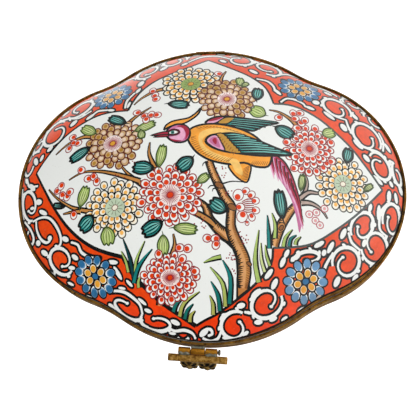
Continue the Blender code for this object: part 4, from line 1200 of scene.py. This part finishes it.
# Its tail: from the spine, which is its outer edge, hang fine feathers, dark at the root and pale at the end
spine = flow([(24.4, 4.1), (27.4, 1.6), (29.6, -2.6), (31.2, -7.2), (32.4, -12.0), (33.1, -17.0)], 6)
patch("rose", [
    (22.2, 4.0), (24.6, 4.2), (27.4, 1.6), (29.6, -2.6), (31.2, -7.2), (32.4, -12.0), (33.2, -17.0),
    (33.2, -20.0), (32.3, -22.8), (31.4, -18.0), (29.8, -12.0), (27.6, -7.6), (24.8, -3.4), (22.8, 0.6),
], edge=None)
FEATHERS = 11
for enamel, reach, widths, aside in (
    ("pale_rose", 1.0, (1.5, 1.2, 0.15), 0.0), ("rose", 0.86, (1.3, 0.8, 0.1), 0.1),
    ("crimson", 0.82, (1.2, 0.7, 0.1), 0.2), ("black_line", 0.66, (0.5, 0.36, 0.1), 0.45),
):
    for number in range(FEATHERS):
        x, y = spine[round(number * (len(spine) - 1) / FEATHERS)]
        x -= 1.5 * (1.0 - number / FEATHERS)
        length = reach * (8.8 - 0.2 * number)
        brush(enamel, [
            (x + aside, y), (x + aside + 0.25, y - length * 0.5), (x + aside + 0.95, y - length),
        ], widths, 3)
brush("crimson", spine, (1.3, 0.9, 0.7, 0.5, 0.3), 1)
brush("black_line", [(x + 0.35, y + 0.2) for x, y in spine], (0.5, 0.65, 0.5, 0.35, 0.2), 1)

# Its body, with the thigh in front of the tail
patch("plumage", [
    (8.0, 0.2), (9.2, -2.8), (11.6, -5.2), (14.2, -6.3), (15.4, -3.4), (15.6, 0.2), (12.6, 3.0),
], line=0.65)
body = [
    (-6.2, 14.0), (-3.8, 15.6), (0.0, 16.4), (4.4, 16.3), (9.4, 15.2), (14.2, 13.4), (18.2, 10.8),
    (22.0, 6.4), (23.2, 3.6), (21.8, -0.2), (17.6, -0.5), (13.4, 0.9), (9.0, 0.2), (4.0, 1.0), (0.2, 2.4),
    (-3.4, 5.0), (-5.8, 8.4), (-6.8, 11.4),
]
patch("plumage", body, line=0.84)
patch("pale_plumage", [
    (-2.4, 12.6), (2.0, 14.6), (8.0, 14.4), (13.0, 12.6), (15.6, 11.2), (8.0, 12.6), (1.6, 12.2),
    (-1.4, 9.6), (0.4, 6.4), (4.0, 4.2), (8.6, 2.6), (11.4, 1.6), (13.0, -3.6), (10.4, -2.6), (8.6, 0.6),
    (4.6, 1.8), (0.0, 4.4), (-2.4, 8.0),
], edge=None)
breast = [(-5.4, 11.0), (-5.0, 8.4), (-2.8, 5.4), (0.6, 3.2), (4.2, 1.6), (7.6, 1.2)]
for index, (x, y) in enumerate(flow(breast, 4)):
    brush("plumage_shade", [(x, y), (x + 1.9, y + 0.6 + 0.05 * index)], (0.36, 0.1), 1)
for number in range(15):
    x = -3.6 + number * 1.2
    y = 15.5 - 0.013 * (x - 2.0)**2 - 0.14 * max(x - 2.0, 0.0)
    brush("plumage_shade", [(x, y), (x + 1.8, y - 0.9)], (0.34, 0.1), 1)
for number in range(9):
    brush("plumage_shade", [
        (15.3 - number * 0.1, -0.2 - number * 0.62), (13.0 - number * 0.14, -1.6 - number * 0.5),
    ], (0.4, 0.1), 1)
    brush("plumage_shade", [(15.6 + number * 0.7, 0.3), (16.8 + number * 0.62, 1.7)], (0.34, 0.1), 1)

# Its near wing: a rose shoulder, a gold band and long teal feathers
near_wing = [
    (-0.2, 9.6), (1.4, 11.5), (5.4, 12.2), (10.0, 12.4), (15.0, 11.0), (20.4, 8.9), (25.2, 6.9), (30.6, 4.9),
    (25.0, 4.1), (19.0, 3.8), (12.6, 4.3), (6.6, 5.2), (3.0, 6.4), (0.6, 8.0),
]
patch("teal", near_wing, line=0.92)
patch("wing_gold", [(3.4, 11.9), (6.2, 12.2), (9.6, 8.2), (12.4, 4.5), (7.0, 5.2), (4.4, 8.0)], line=0.49)
patch("pale_rose", [
    (0.0, 9.6), (1.4, 11.3), (3.8, 11.6), (5.6, 8.4), (6.6, 5.4), (3.2, 6.5), (0.9, 8.1),
], line=0.56)
patch("rose", [(1.0, 9.4), (2.2, 10.8), (3.6, 10.9), (4.6, 8.6), (5.0, 6.6), (3.0, 7.4)], edge=None)
patch("crimson", [(2.2, 9.8), (3.2, 10.6), (3.8, 9.6), (3.6, 8.0), (2.8, 8.4)], edge=None)
for number in range(9):
    x, y = 4.6 + number * 0.72, 11.8 - number * 0.84
    brush("plumage_shade", [(x, y), (x - 0.9, y - 1.5)], (0.4, 0.12), 1)
for row in range(8):
    root, tip = (6.5 + row * 0.8, 11.9 - row * 0.98), (13.6 + row * 2.12, 11.5 - row * 0.92)
    middle = ((root[0] + tip[0]) / 2, (root[1] + tip[1]) / 2 + 0.15)
    brush("light_teal", [(root[0] + 1.2, root[1] - 0.1), middle, tip], (0.2, 0.72, 0.3), 3)
    brush("black_line", [
        (root[0], root[1] - 0.48), (middle[0], middle[1] - 0.48), (tip[0] + 0.8, tip[1] - 0.5),
    ], (0.5, 0.8, 0.5), 3)

# Its head, with a crest, a rose face, a white eye and a crimson beak
patch("plumage", [
    (-15.4, 14.6), (-14.8, 16.6), (-12.6, 18.2), (-9.6, 18.8), (-6.4, 19.5), (-3.8, 21.6), (-2.0, 24.0),
    (-3.0, 21.0), (-5.4, 18.6), (-8.4, 16.9), (-12.0, 16.4), (-14.4, 15.4),
], line=0.73)
patch("rose", [
    (-14.6, 13.2), (-13.4, 15.6), (-10.6, 16.8), (-7.8, 16.2), (-6.0, 13.8), (-6.2, 10.8), (-8.2, 9.2),
    (-11.2, 9.4), (-13.6, 11.0),
], line=0.82)
patch("pale_rose", [
    (-13.2, 11.4), (-11.0, 10.0), (-8.6, 10.0), (-7.6, 12.0), (-8.2, 14.6), (-9.6, 15.4), (-12.2, 14.6),
    (-9.2, 13.2), (-11.2, 11.9),
], edge=None)
brush("crimson", [
    (-10.6, 16.0), (-8.4, 15.6), (-7.1, 14.2), (-6.8, 12.4), (-7.4, 10.4),
], (0.3, 1.2, 1.6, 1.1, 0.3), 4)
brush("crimson", [(-13.0, 10.8), (-11.2, 10.0), (-9.0, 9.8)], (0.3, 0.7, 0.3), 3)
patch("scroll_white", [
    (-14.4, 13.3), (-12.4, 14.5), (-10.6, 14.3), (-9.8, 13.3), (-10.9, 12.5), (-13.2, 12.5),
], edge="crimson_dark", line=0.96)
spot("eye_teal", -12.2, 13.45, 0.7, steps=10)
spot("black_line", -12.1, 13.45, 0.36, steps=8)
for beak in ([(-14.0, 13.9), (-17.0, 13.7), (-20.4, 12.7), (-17.2, 12.7), (-13.9, 12.6)],
             [(-13.9, 12.6), (-17.0, 12.6), (-19.2, 12.0), (-16.6, 11.8), (-13.8, 11.8)]):
    patch("crimson", beak, line=0.48)


def flat_ring(bearings, inset):
    """Return the outline in the plan, moved inward by inset, as places from the middle of the lobes."""
    ring = plan_points(bearings, outline_radius(bearings, inset), 0.0) / MM - (0.0, PLAN_CENTRE_Y, 0.0)
    return [(float(x), float(y)) for x, y, _ in ring]


LID_STEPS = 240
lid_outline = flat_ring(np.arange(LID_STEPS) * math.tau / LID_STEPS, SHELL_INSET)

# At the front right the band's lip was beaten out wider over the glaze. A dark line all round is painted
# shade in the gap between glaze and brass.
RIM_STEPS = 180
rim = np.linspace(0.0, math.tau, RIM_STEPS + 1)
degrees = np.degrees(rim)
lap = 0.95 * np.exp(-((degrees - 320.0) / 20.0)**2) + 0.35 * np.exp(-((degrees - 290.0) / 12.0)**2)
joint = 0.50 - 0.06 * np.exp(-((degrees - 322.0) / 20.0)**2)
UNDER = 0.1              # how far each strip is carried outward, under its neighbour
for enamel, inset, width in (("lapped_brass", lap / 2.0, lap), ("grime", lap + joint / 2.0, joint)):
    brush(enamel, flat_ring(rim, SHELL_INSET + inset - UNDER), tuple(width + UNDER), 1)

# Painted shade in the gap between glaze and brass, and the chips' dark spots: matt and nearly black
joint_shade_and_grime, tree, shader, place = new_material("joint_shade_and_grime_spots")
shader.inputs["Base Color"].default_value = linear(ENAMELS["grime"])
shader.inputs["Roughness"].default_value = 0.95

places, triangles, colours = cut_sheet("iron_red", lid_outline)
lid_piece, dome_normals = lift_sheet("painted_lid", (places, triangles, colours), lid_dome,
                                     (painted_glaze, plain_glaze, joint_shade_and_grime, lid_band_brass))
# The painted shade in the joint and the chips' dark spots are matt; the lapped strip takes the band's brass
finish = np.zeros(len(colours), dtype=np.int32)
for number, enamel in ((2, "grime"), (3, "lapped_brass")):
    finish[np.abs(colours[:, :3] - linear(ENAMELS[enamel])[:3]).max(axis=1) < 1e-4] = number
lid_piece.data.polygons.foreach_set("material_index", finish)

# From the dome's foot round the edge that sits in the brass, and up inside
lid_rings = [(at_inset(inset), height, 1) for inset, height in (
    (SHELL_INSET, LID_EDGE_Z + 0.4), (SHELL_INSET + 0.4, LID_EDGE_Z), (SHELL_INSET + WALL - 0.4, LID_EDGE_Z),
    (SHELL_INSET + WALL, LID_EDGE_Z + 0.4), (SHELL_INSET + WALL, DOME_BASE_Z - 0.6))]
DOME_RINGS = 14
for step in range(DOME_RINGS, 0, -1):
    share = math.sin(math.pi / 2.0 * step / DOME_RINGS)
    height = DOME_BASE_Z + (DOME_RISE - WALL) * max(1.0 - share**2, 0.0)**DOME_POWER
    lid_rings.append((
        lambda bearings, share=share: dome_radius(bearings, share, SHELL_INSET + WALL), height, 1))
lid_rings.append((at_inset(SHELL_INSET + WALL, 0.02), DOME_BASE_Z + DOME_RISE - WALL, 1))
add_rings(lid_piece, lambda edge: True, lid_rings, 1)
flat_lid = places[triangles].reshape(-1, 2)


def lid_layout(corners):
    """Lay the painted dome out as it is seen from above."""
    return flat_lid / (2.0 * HALF_LENGTH) * 0.98 + (0.5, 0.41)


lay_flat(lid_piece, lid_layout, (((0.01, 0.83), (0.99, 0.99)),))
shade_painted(lid_piece, dome_normals)
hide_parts("lid_shell")
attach(lid_piece, "lid")

# Back hinge, hinge_knuckle_left, hinge_knuckle_right and hinge_lid_knuckle: three short brass tubes, each
# with a thin leaf that follows the band and is soldered to it. The middle one is the lid's.
HINGE_KNUCKLE, HINGE_PIN, FIT = 1.1, 0.4, 0.3
HINGE_STAND, HINGE_LENGTH, LEAF_HEIGHT, LEAF = 1.45, 12.0, 2.2, 0.8
HINGE_AXIS = Vector((0.0, PLAN_CENTRE_Y + HALF_DEPTH + HINGE_STAND, 45.15))

# The hinge's brass is browner than the bands, since no hand rubs it
hinge_brass = aged_brass("aged_hinge_brass", "#C08C3C", "#86602C", "#3A2A1C", 0.02, 0.30)

# Soft solder: a dull grey alloy of lead and tin, lumpy and frosted in light and dark patches
solder, tree, shader, place = new_material("dull_lead_solder")
frost = add_node(tree, "ShaderNodeTexNoise", links={"Vector": place, "Scale": 1 / (0.9 * MM), "Detail": 5.0})
leaden = patchy(tree, frost.outputs[0], 0.38, 0.64, linear("#8E8C7C"), linear("#5B5B4C"))
tree.links.new(leaden, shader.inputs["Base Color"])
lumps = add_node(tree, "ShaderNodeBump", links={"Height": frost.outputs[0], "Strength": 0.6,
                                                "Distance": 0.2 * MM})
tree.links.new(lumps.outputs[0], shader.inputs["Normal"])
shader.inputs["Metallic"].default_value = 0.55
shader.inputs["Roughness"].default_value = 0.55


def in_place(piece):
    """Put what was done to a piece's place, turn and size into its mesh."""
    bpy.ops.object.select_all(action="DESELECT")
    piece.select_set(True)
    bpy.context.view_layer.objects.active = piece
    bpy.ops.object.transform_apply(location=True, rotation=True, scale=True)


def rod(radius, start, end, sides=36, soft=0.12):
    """Turn a rod along X from start to end, with softened ends."""
    bpy.ops.object.select_all(action="DESELECT")
    bpy.ops.mesh.primitive_cylinder_add(vertices=sides, radius=radius * MM, depth=(end - start) * MM,
                                        location=((start + end) / 2.0 * MM, 0.0, 0.0),
                                        rotation=(0.0, math.pi / 2.0, 0.0))
    piece = bpy.context.active_object
    in_place(piece)
    bpy.ops.object.mode_set(mode="EDIT")
    bpy.ops.mesh.select_mode(type="EDGE")
    pick("edges", lambda edge: abs(edge.calc_face_angle(0.0)) > 1.0)
    bpy.ops.mesh.bevel(offset=soft * MM, segments=2, affect="EDGES")
    bpy.ops.object.mode_set(mode="OBJECT")
    return piece


def block(low, high, soft, cuts=0):
    """Saw a block between two corners, with softened edges, and cut it across into so many lengths."""
    low, high = Vector(low) * MM, Vector(high) * MM
    bpy.ops.object.select_all(action="DESELECT")
    bpy.ops.mesh.primitive_cube_add(size=1.0, location=(low + high) / 2.0)
    piece = bpy.context.active_object
    piece.scale = high - low
    in_place(piece)
    bpy.ops.object.mode_set(mode="EDIT")
    bpy.ops.mesh.select_mode(type="EDGE")
    bpy.ops.mesh.select_all(action="SELECT")
    bpy.ops.mesh.bevel(offset=soft * MM, segments=2, affect="EDGES")
    for cut in range(1, cuts):
        bpy.ops.mesh.select_all(action="SELECT")
        x = low.x + (high.x - low.x) * cut / cuts
        bpy.ops.mesh.bisect(plane_co=(x, 0.0, 0.0), plane_no=(1.0, 0.0, 0.0))
    bpy.ops.object.mode_set(mode="OBJECT")
    return piece


def bent_leaf(start, end, low_z, high_z, side, stand):
    """Bend a thin plate to the band's face, on the back (1) or front (-1) lobe, about the barrel's axis."""
    piece = block((start, 0.0, low_z), (end, LEAF, high_z), 0.12, 8)
    for corner in piece.data.vertices:
        x, y, z = corner.co / MM
        radius = LONG_LOBE + FIT + y
        corner.co.y = side * (math.sqrt(radius**2 - x**2) - LONG_LOBE - stand) * MM
    if side < 0:
        piece.data.flip_normals()
    return piece


def fuse(piece, others, operation="UNION"):
    """Fuse others on to a piece, or cut them out of it, and keep the one clean skin."""
    for other in others:
        joint = piece.modifiers.new("fuse", "BOOLEAN")
        joint.operation, joint.object, joint.solver = operation, other, "EXACT"
        joint.material_mode = "TRANSFER" if other.data.materials else "INDEX"
        bpy.ops.object.select_all(action="DESELECT")
        bpy.context.view_layer.objects.active = piece
        bpy.ops.object.modifier_apply(modifier=joint.name)
        bpy.data.objects.remove(other)


def drill(piece, radius, start, end):
    """Drill a part through from start to end along its barrel's axis."""
    fuse(piece, [rod(radius, start - 1.0, end + 1.0)], "DIFFERENCE")


def finish_metal(piece, name, axis, finishes, skew=0.0):
    """Stand a piece made about its barrel's axis in its place on the box, and shade it."""
    piece.name = piece.data.name = name
    piece.matrix_world = Matrix.Translation(axis * MM) @ Matrix.Rotation(skew, 4, "Z")
    in_place(piece)
    for finish in finishes[len(piece.data.materials):]:
        piece.data.materials.append(finish)
    bpy.ops.object.shade_smooth_by_angle(angle=math.radians(35.0))


half, third = HINGE_LENGTH / 2.0, HINGE_LENGTH / 6.0
for name, node, body, start, end, way in (
    ("hinge_tube_left", "hinge_knuckle_left", "base", -half, -third - FIT, -1),
    ("hinge_tube_lid", "hinge_lid_knuckle", "lid", -third, third, 1),
    ("hinge_tube_right", "hinge_knuckle_right", "base", third + FIT, half, -1),
):
    low_z, high_z = sorted((way * FIT * 1.5, way * LEAF_HEIGHT))
    tube = rod(HINGE_KNUCKLE, start, end)
    fuse(tube, [bent_leaf(start, end, low_z, high_z, 1, HINGE_STAND)])
    drill(tube, HINGE_PIN + FIT, start, end)
    finish_metal(tube, name, HINGE_AXIS, (hinge_brass,))
    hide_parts(node)
    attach(tube, body)

# Hinge pin, hinge_pin: a brass wire pushed through the three tubes of the back hinge. It is held by its ends,
# which are hammered to low domes, and stays with the body's two tubes when the lid opens.
hinge_pin = rod(HINGE_PIN, -half, half, soft=0.15)
finish_metal(hinge_pin, "hinge_wire", HINGE_AXIS, (hinge_brass,))
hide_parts("hinge_pin")
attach(hinge_pin, "base")

# Front clasp's fixed tube, clasp_lug: a short brass tube on a leaf that follows the lid's band. Both are
# joined to the band and to each other with grey solder, a little askew.
SKEW = math.radians(-4.15)
KNUCKLE, PIN = 1.25, 0.5
CLASP_STAND, LUG_HALF, LUG_LEAF = 2.0, 2.5, 1.5
CLASP_AXIS = Vector((
    (LONG_LOBE + CLASP_STAND) * math.sin(SKEW),
    PLAN_CENTRE_Y + LONG_LOBE - HALF_DEPTH - (LONG_LOBE + CLASP_STAND) * math.cos(SKEW),
    47.8,
))
OUTER_START, OUTER_END = 2.8, 7.1

# The clasp's brass is rubbed bright and yellow by fingers, with little grime
clasp_brass = aged_brass("rubbed_clasp_brass", "#E6A032", "#B87620", "#4A2E14", -0.03, 0.28)


def with_finish(piece, finish):
    """Give a part its metal before it is fused on."""
    piece.data.materials.append(finish)
    return piece


lug = with_finish(rod(KNUCKLE, -LUG_HALF, LUG_HALF), clasp_brass)
fuse(lug, [with_finish(bent_leaf(-LUG_HALF, LUG_HALF, -LUG_LEAF, LUG_LEAF, -1, CLASP_STAND), solder)])
drill(lug, PIN + FIT, -LUG_HALF, LUG_HALF)
finish_metal(lug, "clasp_fixed_tube", CLASP_AXIS, (), SKEW)
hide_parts("clasp_lug")
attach(lug, "lid")

# Clasp pin, clasp_pin: a steel-grey plated wire pushed through the clasp's tubes. Its domed head at the right
# end keeps it from slipping out, and it stays with the lid.
PIN_START, HEAD_START, HEAD_END, HEAD = -7.1, 7.4, 8.3, 1.1

# Plated wire: its plating is worn to patches of grey and brown, and dull
pin_steel, tree, shader, place = new_material("dulled_plated_wire")
wear = add_node(tree, "ShaderNodeTexNoise", links={"Vector": place, "Scale": 1 / (0.8 * MM), "Detail": 4.0})
greyed = patchy(tree, wear.outputs[0], 0.0, 1.0, linear("#8A8474"), linear("#4E4638"))
tree.links.new(greyed, shader.inputs["Base Color"])
shader.inputs["Metallic"].default_value = 0.85
shader.inputs["Roughness"].default_value = 0.38

clasp_wire = rod(PIN, PIN_START, HEAD_START + 0.3)
fuse(clasp_wire, [rod(HEAD, HEAD_START, HEAD_END, soft=0.4)])
finish_metal(clasp_wire, "clasp_wire", CLASP_AXIS, (pin_steel,), SKEW)
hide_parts("clasp_pin")
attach(clasp_wire, "lid")

# Clasp drop, clasp_hasp: two tubes soldered to a flat crossbar, and under it a cast ornament of two ribbed
# lobes on a neck that leans out from the box. A short tongue behind it snaps over the stud below.
BAR_HALF, BAR_BACK, BAR_FRONT, BAR_TOP, BAR_FOOT = 10.9, -1.2, -3.8, -1.0, -3.0

# The ornament: where its lobes' middles hang, their size and ribs, and the line about which it leans out
LOBE_X, LOBE_DROP, LOBE_RADIUS, LOBE_THICK, RIBS = 3.3, 7.3, 3.6, 1.6, 7
LEAN, LEAN_Y, LEAN_Z = math.radians(20.0), -1.0, -1.2

# The crossbar's brass is mottled pale and brown, and finely pitted
crossbar_brass, tree, shader, place = new_material("mottled_crossbar_brass")
mottle = add_node(tree, "ShaderNodeTexNoise", links={
    "Vector": place, "Scale": 1 / (1.3 * MM), "Detail": 6.0, "Roughness": 0.65})
fine = add_node(tree, "ShaderNodeTexNoise", links={"Vector": place, "Scale": 1 / (0.35 * MM), "Detail": 3.0})
tones = add_node(tree, "ShaderNodeValToRGB", links={"Fac": mottle.outputs[0]})
for spot_at, code in ((0.36, "#6E4A20"), (0.46, "#A5762E"), (0.55, "#C79A4C"), (0.64, "#DDAE66")):
    stop = tones.color_ramp.elements.new(spot_at)
    stop.color = linear(code)
tones.color_ramp.elements.remove(tones.color_ramp.elements[-1])
tones.color_ramp.elements.remove(tones.color_ramp.elements[0])
tree.links.new(tones.outputs[0], shader.inputs["Base Color"])
pitting = add_node(tree, "ShaderNodeBump", links={"Height": fine.outputs[0], "Strength": 0.5,
                                                  "Distance": 0.12 * MM})
tree.links.new(pitting.outputs[0], shader.inputs["Normal"])
shader.inputs["Metallic"].default_value = 0.8
shader.inputs["Roughness"].default_value = 0.4

# Dark patina lies in the ornament's hollows, and its ribs are rubbed through to the gold
ornament_brass, tree, shader, place = new_material("dark_patinated_cast_brass")
crevice = add_node(tree, "ShaderNodeTexNoise", links={"Vector": place, "Scale": 1 / (0.9 * MM),
                                                      "Detail": 5.0})
height = add_node(tree, "ShaderNodeAttribute", {"attribute_name": "relief"})
raised = add_node(tree, "ShaderNodeMath", {"operation": "MULTIPLY_ADD"},
                  {0: crevice.outputs[0], 1: 0.8, 2: height.outputs["Fac"]})
tones = add_node(tree, "ShaderNodeValToRGB", links={"Fac": raised.outputs[0]})
for spot_at, code in ((0.44, "#120D08"), (0.56, "#4A3A20"), (0.72, "#A5803C"), (0.88, "#E2C480")):
    stop = tones.color_ramp.elements.new(spot_at)
    stop.color = linear(code)
tones.color_ramp.elements.remove(tones.color_ramp.elements[-1])
tones.color_ramp.elements.remove(tones.color_ramp.elements[0])
tree.links.new(tones.outputs[0], shader.inputs["Base Color"])
shader.inputs["Metallic"].default_value = 0.75
shader.inputs["Roughness"].default_value = 0.36


def ribbed_lobe(x, rings=9, spokes=56):
    """Model one lobe as a dome of rings with ribs that fan up to a boss, flat behind."""
    bpy.ops.object.select_all(action="DESELECT")
    bpy.ops.mesh.primitive_circle_add(vertices=spokes, radius=1.0)
    piece = bpy.context.active_object
    bpy.ops.object.mode_set(mode="EDIT")
    bpy.ops.mesh.select_mode(type="EDGE")
    bpy.ops.mesh.select_all(action="SELECT")
    levels = [(1.0, 0.0)] + [(1.0 - 0.97 * step / rings, 1.0) for step in range(rings + 1)]
    for number, (share, front) in enumerate(levels):
        if number:
            bpy.ops.mesh.extrude_edges_move()
        shape = bmesh.from_edit_mesh(piece.data)
        for corner in (part for part in shape.verts if part.select):
            if number:
                bearing = math.atan2(corner.co.z, corner.co.x - x * MM)
            else:
                bearing = math.atan2(corner.co.y, corner.co.x)
            rib = math.cos(RIBS * (bearing + math.pi / 2.0))
            edge = LOBE_RADIUS - 0.4 * (0.5 - 0.5 * rib)
            boss = 0.8 * max(0.0, 1.0 - (share / 0.36)**2)
            rise = 0.7 * math.sqrt(max(1.0 - share**2, 0.0)) + 0.22 * rib * share * (1.0 - share**6) + boss
            depth = front * (LOBE_THICK - 0.7 + rise)
            out = edge * share
            corner.co = Vector((x + out * math.cos(bearing), -depth, out * math.sin(bearing))) * MM
        bmesh.update_edit_mesh(piece.data)
    bpy.ops.mesh.edge_face_add()
    pick("edges", lambda edge: len(edge.link_faces) == 1)
    bpy.ops.mesh.edge_face_add()
    bpy.ops.mesh.select_all(action="SELECT")
    bpy.ops.mesh.normals_make_consistent(inside=False)
    bpy.ops.object.mode_set(mode="OBJECT")
    return piece


def lean_out(piece):
    """Hang a part of the ornament in its place and lean it out from the box about the crossbar."""
    c, s = math.cos(LEAN), math.sin(LEAN)
    for corner in piece.data.vertices:
        x, y, z = corner.co / MM
        z -= LOBE_DROP
        corner.co = Vector((x, y * c + z * s + LEAN_Y, z * c - y * s + LEAN_Z)) * MM
    return piece


solids = []
for side in (-1, 1):
    start, end = sorted((side * OUTER_START, side * OUTER_END))
    tube = with_finish(rod(KNUCKLE, start, end), clasp_brass)
    drill(tube, PIN + FIT, start, end)
    solids.append(tube)

    # Solder joins the tube to the crossbar, in a web under it and a wavy fillet before it
    web = block((start, BAR_BACK - FIT, BAR_FOOT + 0.1), (end, 0.14, -KNUCKLE * 0.6 - 0.1), 0.2)
    drill(web, PIN + FIT, start, end)
    solids.append(with_finish(web, solder))
    fillet = block((start + 0.15, -KNUCKLE - 0.25, BAR_FOOT + 0.3), (end - 0.15, -0.42, 1.05), 0.25, 9)
    for corner in fillet.data.vertices:
        along = corner.co.x / MM
        corner.co.z += 0.16 * MM * math.sin(2.9 * along + 1.0) * (corner.co.z > 0.3 * MM)
        corner.co.y -= 0.12 * MM * math.sin(2.1 * along) * (corner.co.y < -1.2 * MM)
    drill(fillet, PIN + FIT, start, end)
    solids.append(with_finish(fillet, solder))

# The crossbar, a little wavy, with a small hole near its left end
bar = block((-BAR_HALF, BAR_FRONT, BAR_FOOT), (BAR_HALF, BAR_BACK, BAR_TOP), 0.3, 16)
drilled = rod(0.4, -1.0, 1.0, sides=20, soft=0.05)
for corner in drilled.data.vertices:
    x, y, z = corner.co
    corner.co = Vector((y - (BAR_HALF - 1.4) * MM, z + (BAR_FRONT + BAR_BACK) / 2.0 * MM,
                        x + (BAR_TOP + 0.4) * MM))
fuse(bar, [drilled], "DIFFERENCE")
for corner in bar.data.vertices:
    corner.co.z += 0.06 * MM * math.sin(corner.co.x / MM * 0.55 + 1.0)
solids.append(with_finish(bar, crossbar_brass))

# Solder under the fixed tube, the tongue behind the drop, and the ornament on its neck
for low, high, finish in (
    ((-2.9, BAR_BACK - FIT, BAR_FOOT + 0.2), (2.9, -0.45, -KNUCKLE - FIT), solder),
    ((-3.0, -1.3, -7.0), (3.0, -0.3, -KNUCKLE - FIT - 0.2), crossbar_brass),
):
    solids.append(with_finish(block(low, high, 0.2), finish))
neck = lean_out(block((-2.6, -1.3, 0.6), (2.6, -0.16, 7.0), 0.3, 6))
solids.append(with_finish(neck, ornament_brass))
for x in (-LOBE_X, LOBE_X):
    solids.append(with_finish(lean_out(ribbed_lobe(x)), ornament_brass))
drop = solids[0]
fuse(drop, solids[1:])

# The relief tells the patina where the ribs stand out
relief = drop.data.attributes.new("relief", "FLOAT", "POINT")
for number, corner in enumerate(drop.data.vertices):
    x, y, z = corner.co / MM
    side = LOBE_X if x > 0.0 else -LOBE_X
    down = (z - LEAN_Z) * math.cos(LEAN) + (y - LEAN_Y) * math.sin(LEAN) + LOBE_DROP
    share = math.hypot(x - side, down) / LOBE_RADIUS
    rib = math.cos(RIBS * (math.atan2(down, x - side) + math.pi / 2.0))
    relief.data[number].value = max(0.12 + 0.30 * rib * min(share, 1.0), 0.28 * (share < 0.3))
finish_metal(drop, "clasp_drop", CLASP_AXIS, (), SKEW)
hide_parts("clasp_hasp")
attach(drop, "clasp")

# Catch, clasp_catch: a short turned brass stud riveted to the body's band under the clasp. The drop's tongue
# snaps over it and so holds the lid shut.
CATCH, CATCH_DROP = 1.2, -5.3
stud = rod(CATCH, 0.35, 1.7, soft=0.35)
for corner in stud.data.vertices:
    corner.co = Vector((corner.co.y, corner.co.x, corner.co.z + CATCH_DROP * MM))
stud.data.flip_normals()
finish_metal(stud, "catch_stud", CLASP_AXIS, (clasp_brass,), SKEW)
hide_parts("clasp_catch")
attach(stud, "base")

# Studio: a plain white floor that glows a little, so that it stays white with hardly a shadow, as in the
# photograph, under one soft lamp overhead and one from the right, a pale sky brighter at the right, and a
# pale glare that the back left of the glaze picks up from below. The camera looks steeply down.
bpy.ops.object.select_all(action="DESELECT")
bpy.ops.mesh.primitive_plane_add(size=6.0, location=(0.0, 0.0, 0.0))
floor = bpy.context.active_object
floor.name = "floor"

# White paper: matt, and glowing a little
paper, tree, shader, place = new_material("white_paper")
shader.inputs["Base Color"].default_value = linear("#F2F2F2")
shader.inputs["Roughness"].default_value = 0.9
shader.inputs["Emission Color"].default_value = linear("#FFFFFF")
shader.inputs["Emission Strength"].default_value = 0.7
floor.data.materials.append(paper)
floor.visible_glossy = False

world = bpy.data.worlds.new("studio_air")
bpy.context.scene.world = world
world.use_nodes = True
tree = world.node_tree
sky = tree.nodes["Background"]
way = add_node(tree, "ShaderNodeTexCoord")
towards = add_node(tree, "ShaderNodeVectorMath", {"operation": "DOT_PRODUCT"},
                   {0: way.outputs["Generated"], 1: (0.76, 0.50, 0.0)})
bright = add_node(tree, "ShaderNodeMapRange", links={
    "Value": towards.outputs["Value"], "From Min": -0.40, "From Max": 0.90, "To Min": 0.12, "To Max": 1.04})
behind = add_node(tree, "ShaderNodeVectorMath", {"operation": "DOT_PRODUCT"},
                  {0: way.outputs["Generated"], 1: (-0.42, 0.54, -0.73)})
glare = add_node(tree, "ShaderNodeMapRange", links={
    "Value": behind.outputs["Value"], "From Min": 0.66, "From Max": 0.96, "To Max": 1.15})
light = add_node(tree, "ShaderNodeMath", {"operation": "ADD"}, {0: bright.outputs[0], 1: glare.outputs[0]})
tree.links.new(light.outputs[0], sky.inputs["Strength"])
sky.inputs["Color"].default_value = linear("#FFFFFF")


def soft_lamp(name, where, width, height, power):
    """Hang a soft rectangular lamp that looks at the box."""
    lamp_data = bpy.data.lights.new(name, "AREA")
    lamp_data.shape, lamp_data.size, lamp_data.size_y = "RECTANGLE", width, height
    lamp_data.energy = power
    lamp = bpy.data.objects.new(name, lamp_data)
    lamp.location = where
    lamp.rotation_euler = (Vector((0.0, 0.0, 0.05)) - lamp.location).to_track_quat("-Z", "Y").to_euler()
    bpy.context.scene.collection.objects.link(lamp)
    return lamp


overhead = soft_lamp("overhead", Vector((-0.2, -0.28, 1.1)), 1.0, 1.0, 8.95)
overhead.visible_glossy = False
soft_lamp("window_right", Vector((0.92, -0.20, 0.42)), 0.6, 0.35, 0.5)

# Camera at the photograph's angle
CAMERA_AWAY, AZIMUTH, ELEVATION, ROLL = 283.45, math.radians(8.804), math.radians(71.53), math.radians(-9.254)
CAMERA_TARGET = Vector((0.0, PLAN_CENTRE_Y, 50.3))
FOCAL_PIXELS, MIDDLE_U, MIDDLE_V, PICTURE = 734.8, 209.85, 188.52, 416.0
back = Vector((math.sin(AZIMUTH) * math.cos(ELEVATION), -math.cos(AZIMUTH) * math.cos(ELEVATION),
               math.sin(ELEVATION)))
right = Vector((math.cos(AZIMUTH), math.sin(AZIMUTH), 0.0))
up = back.cross(right)
right, up = (math.cos(ROLL) * right + math.sin(ROLL) * up, math.cos(ROLL) * up - math.sin(ROLL) * right)
camera_data = bpy.data.cameras.new("camera")
camera_data.sensor_width = 36.0
camera_data.lens = 36.0 * FOCAL_PIXELS / PICTURE
camera_data.shift_x = (PICTURE / 2.0 - MIDDLE_U) / PICTURE
camera_data.shift_y = (MIDDLE_V - PICTURE / 2.0) / PICTURE
camera = bpy.data.objects.new("camera", camera_data)
turn = Matrix((right, up, back)).transposed().to_4x4()
camera.matrix_world = Matrix.Translation((CAMERA_TARGET + back * CAMERA_AWAY) * MM) @ turn
bpy.context.scene.collection.objects.link(camera)
bpy.context.scene.camera = camera
bpy.context.scene.view_settings.view_transform = "Standard"
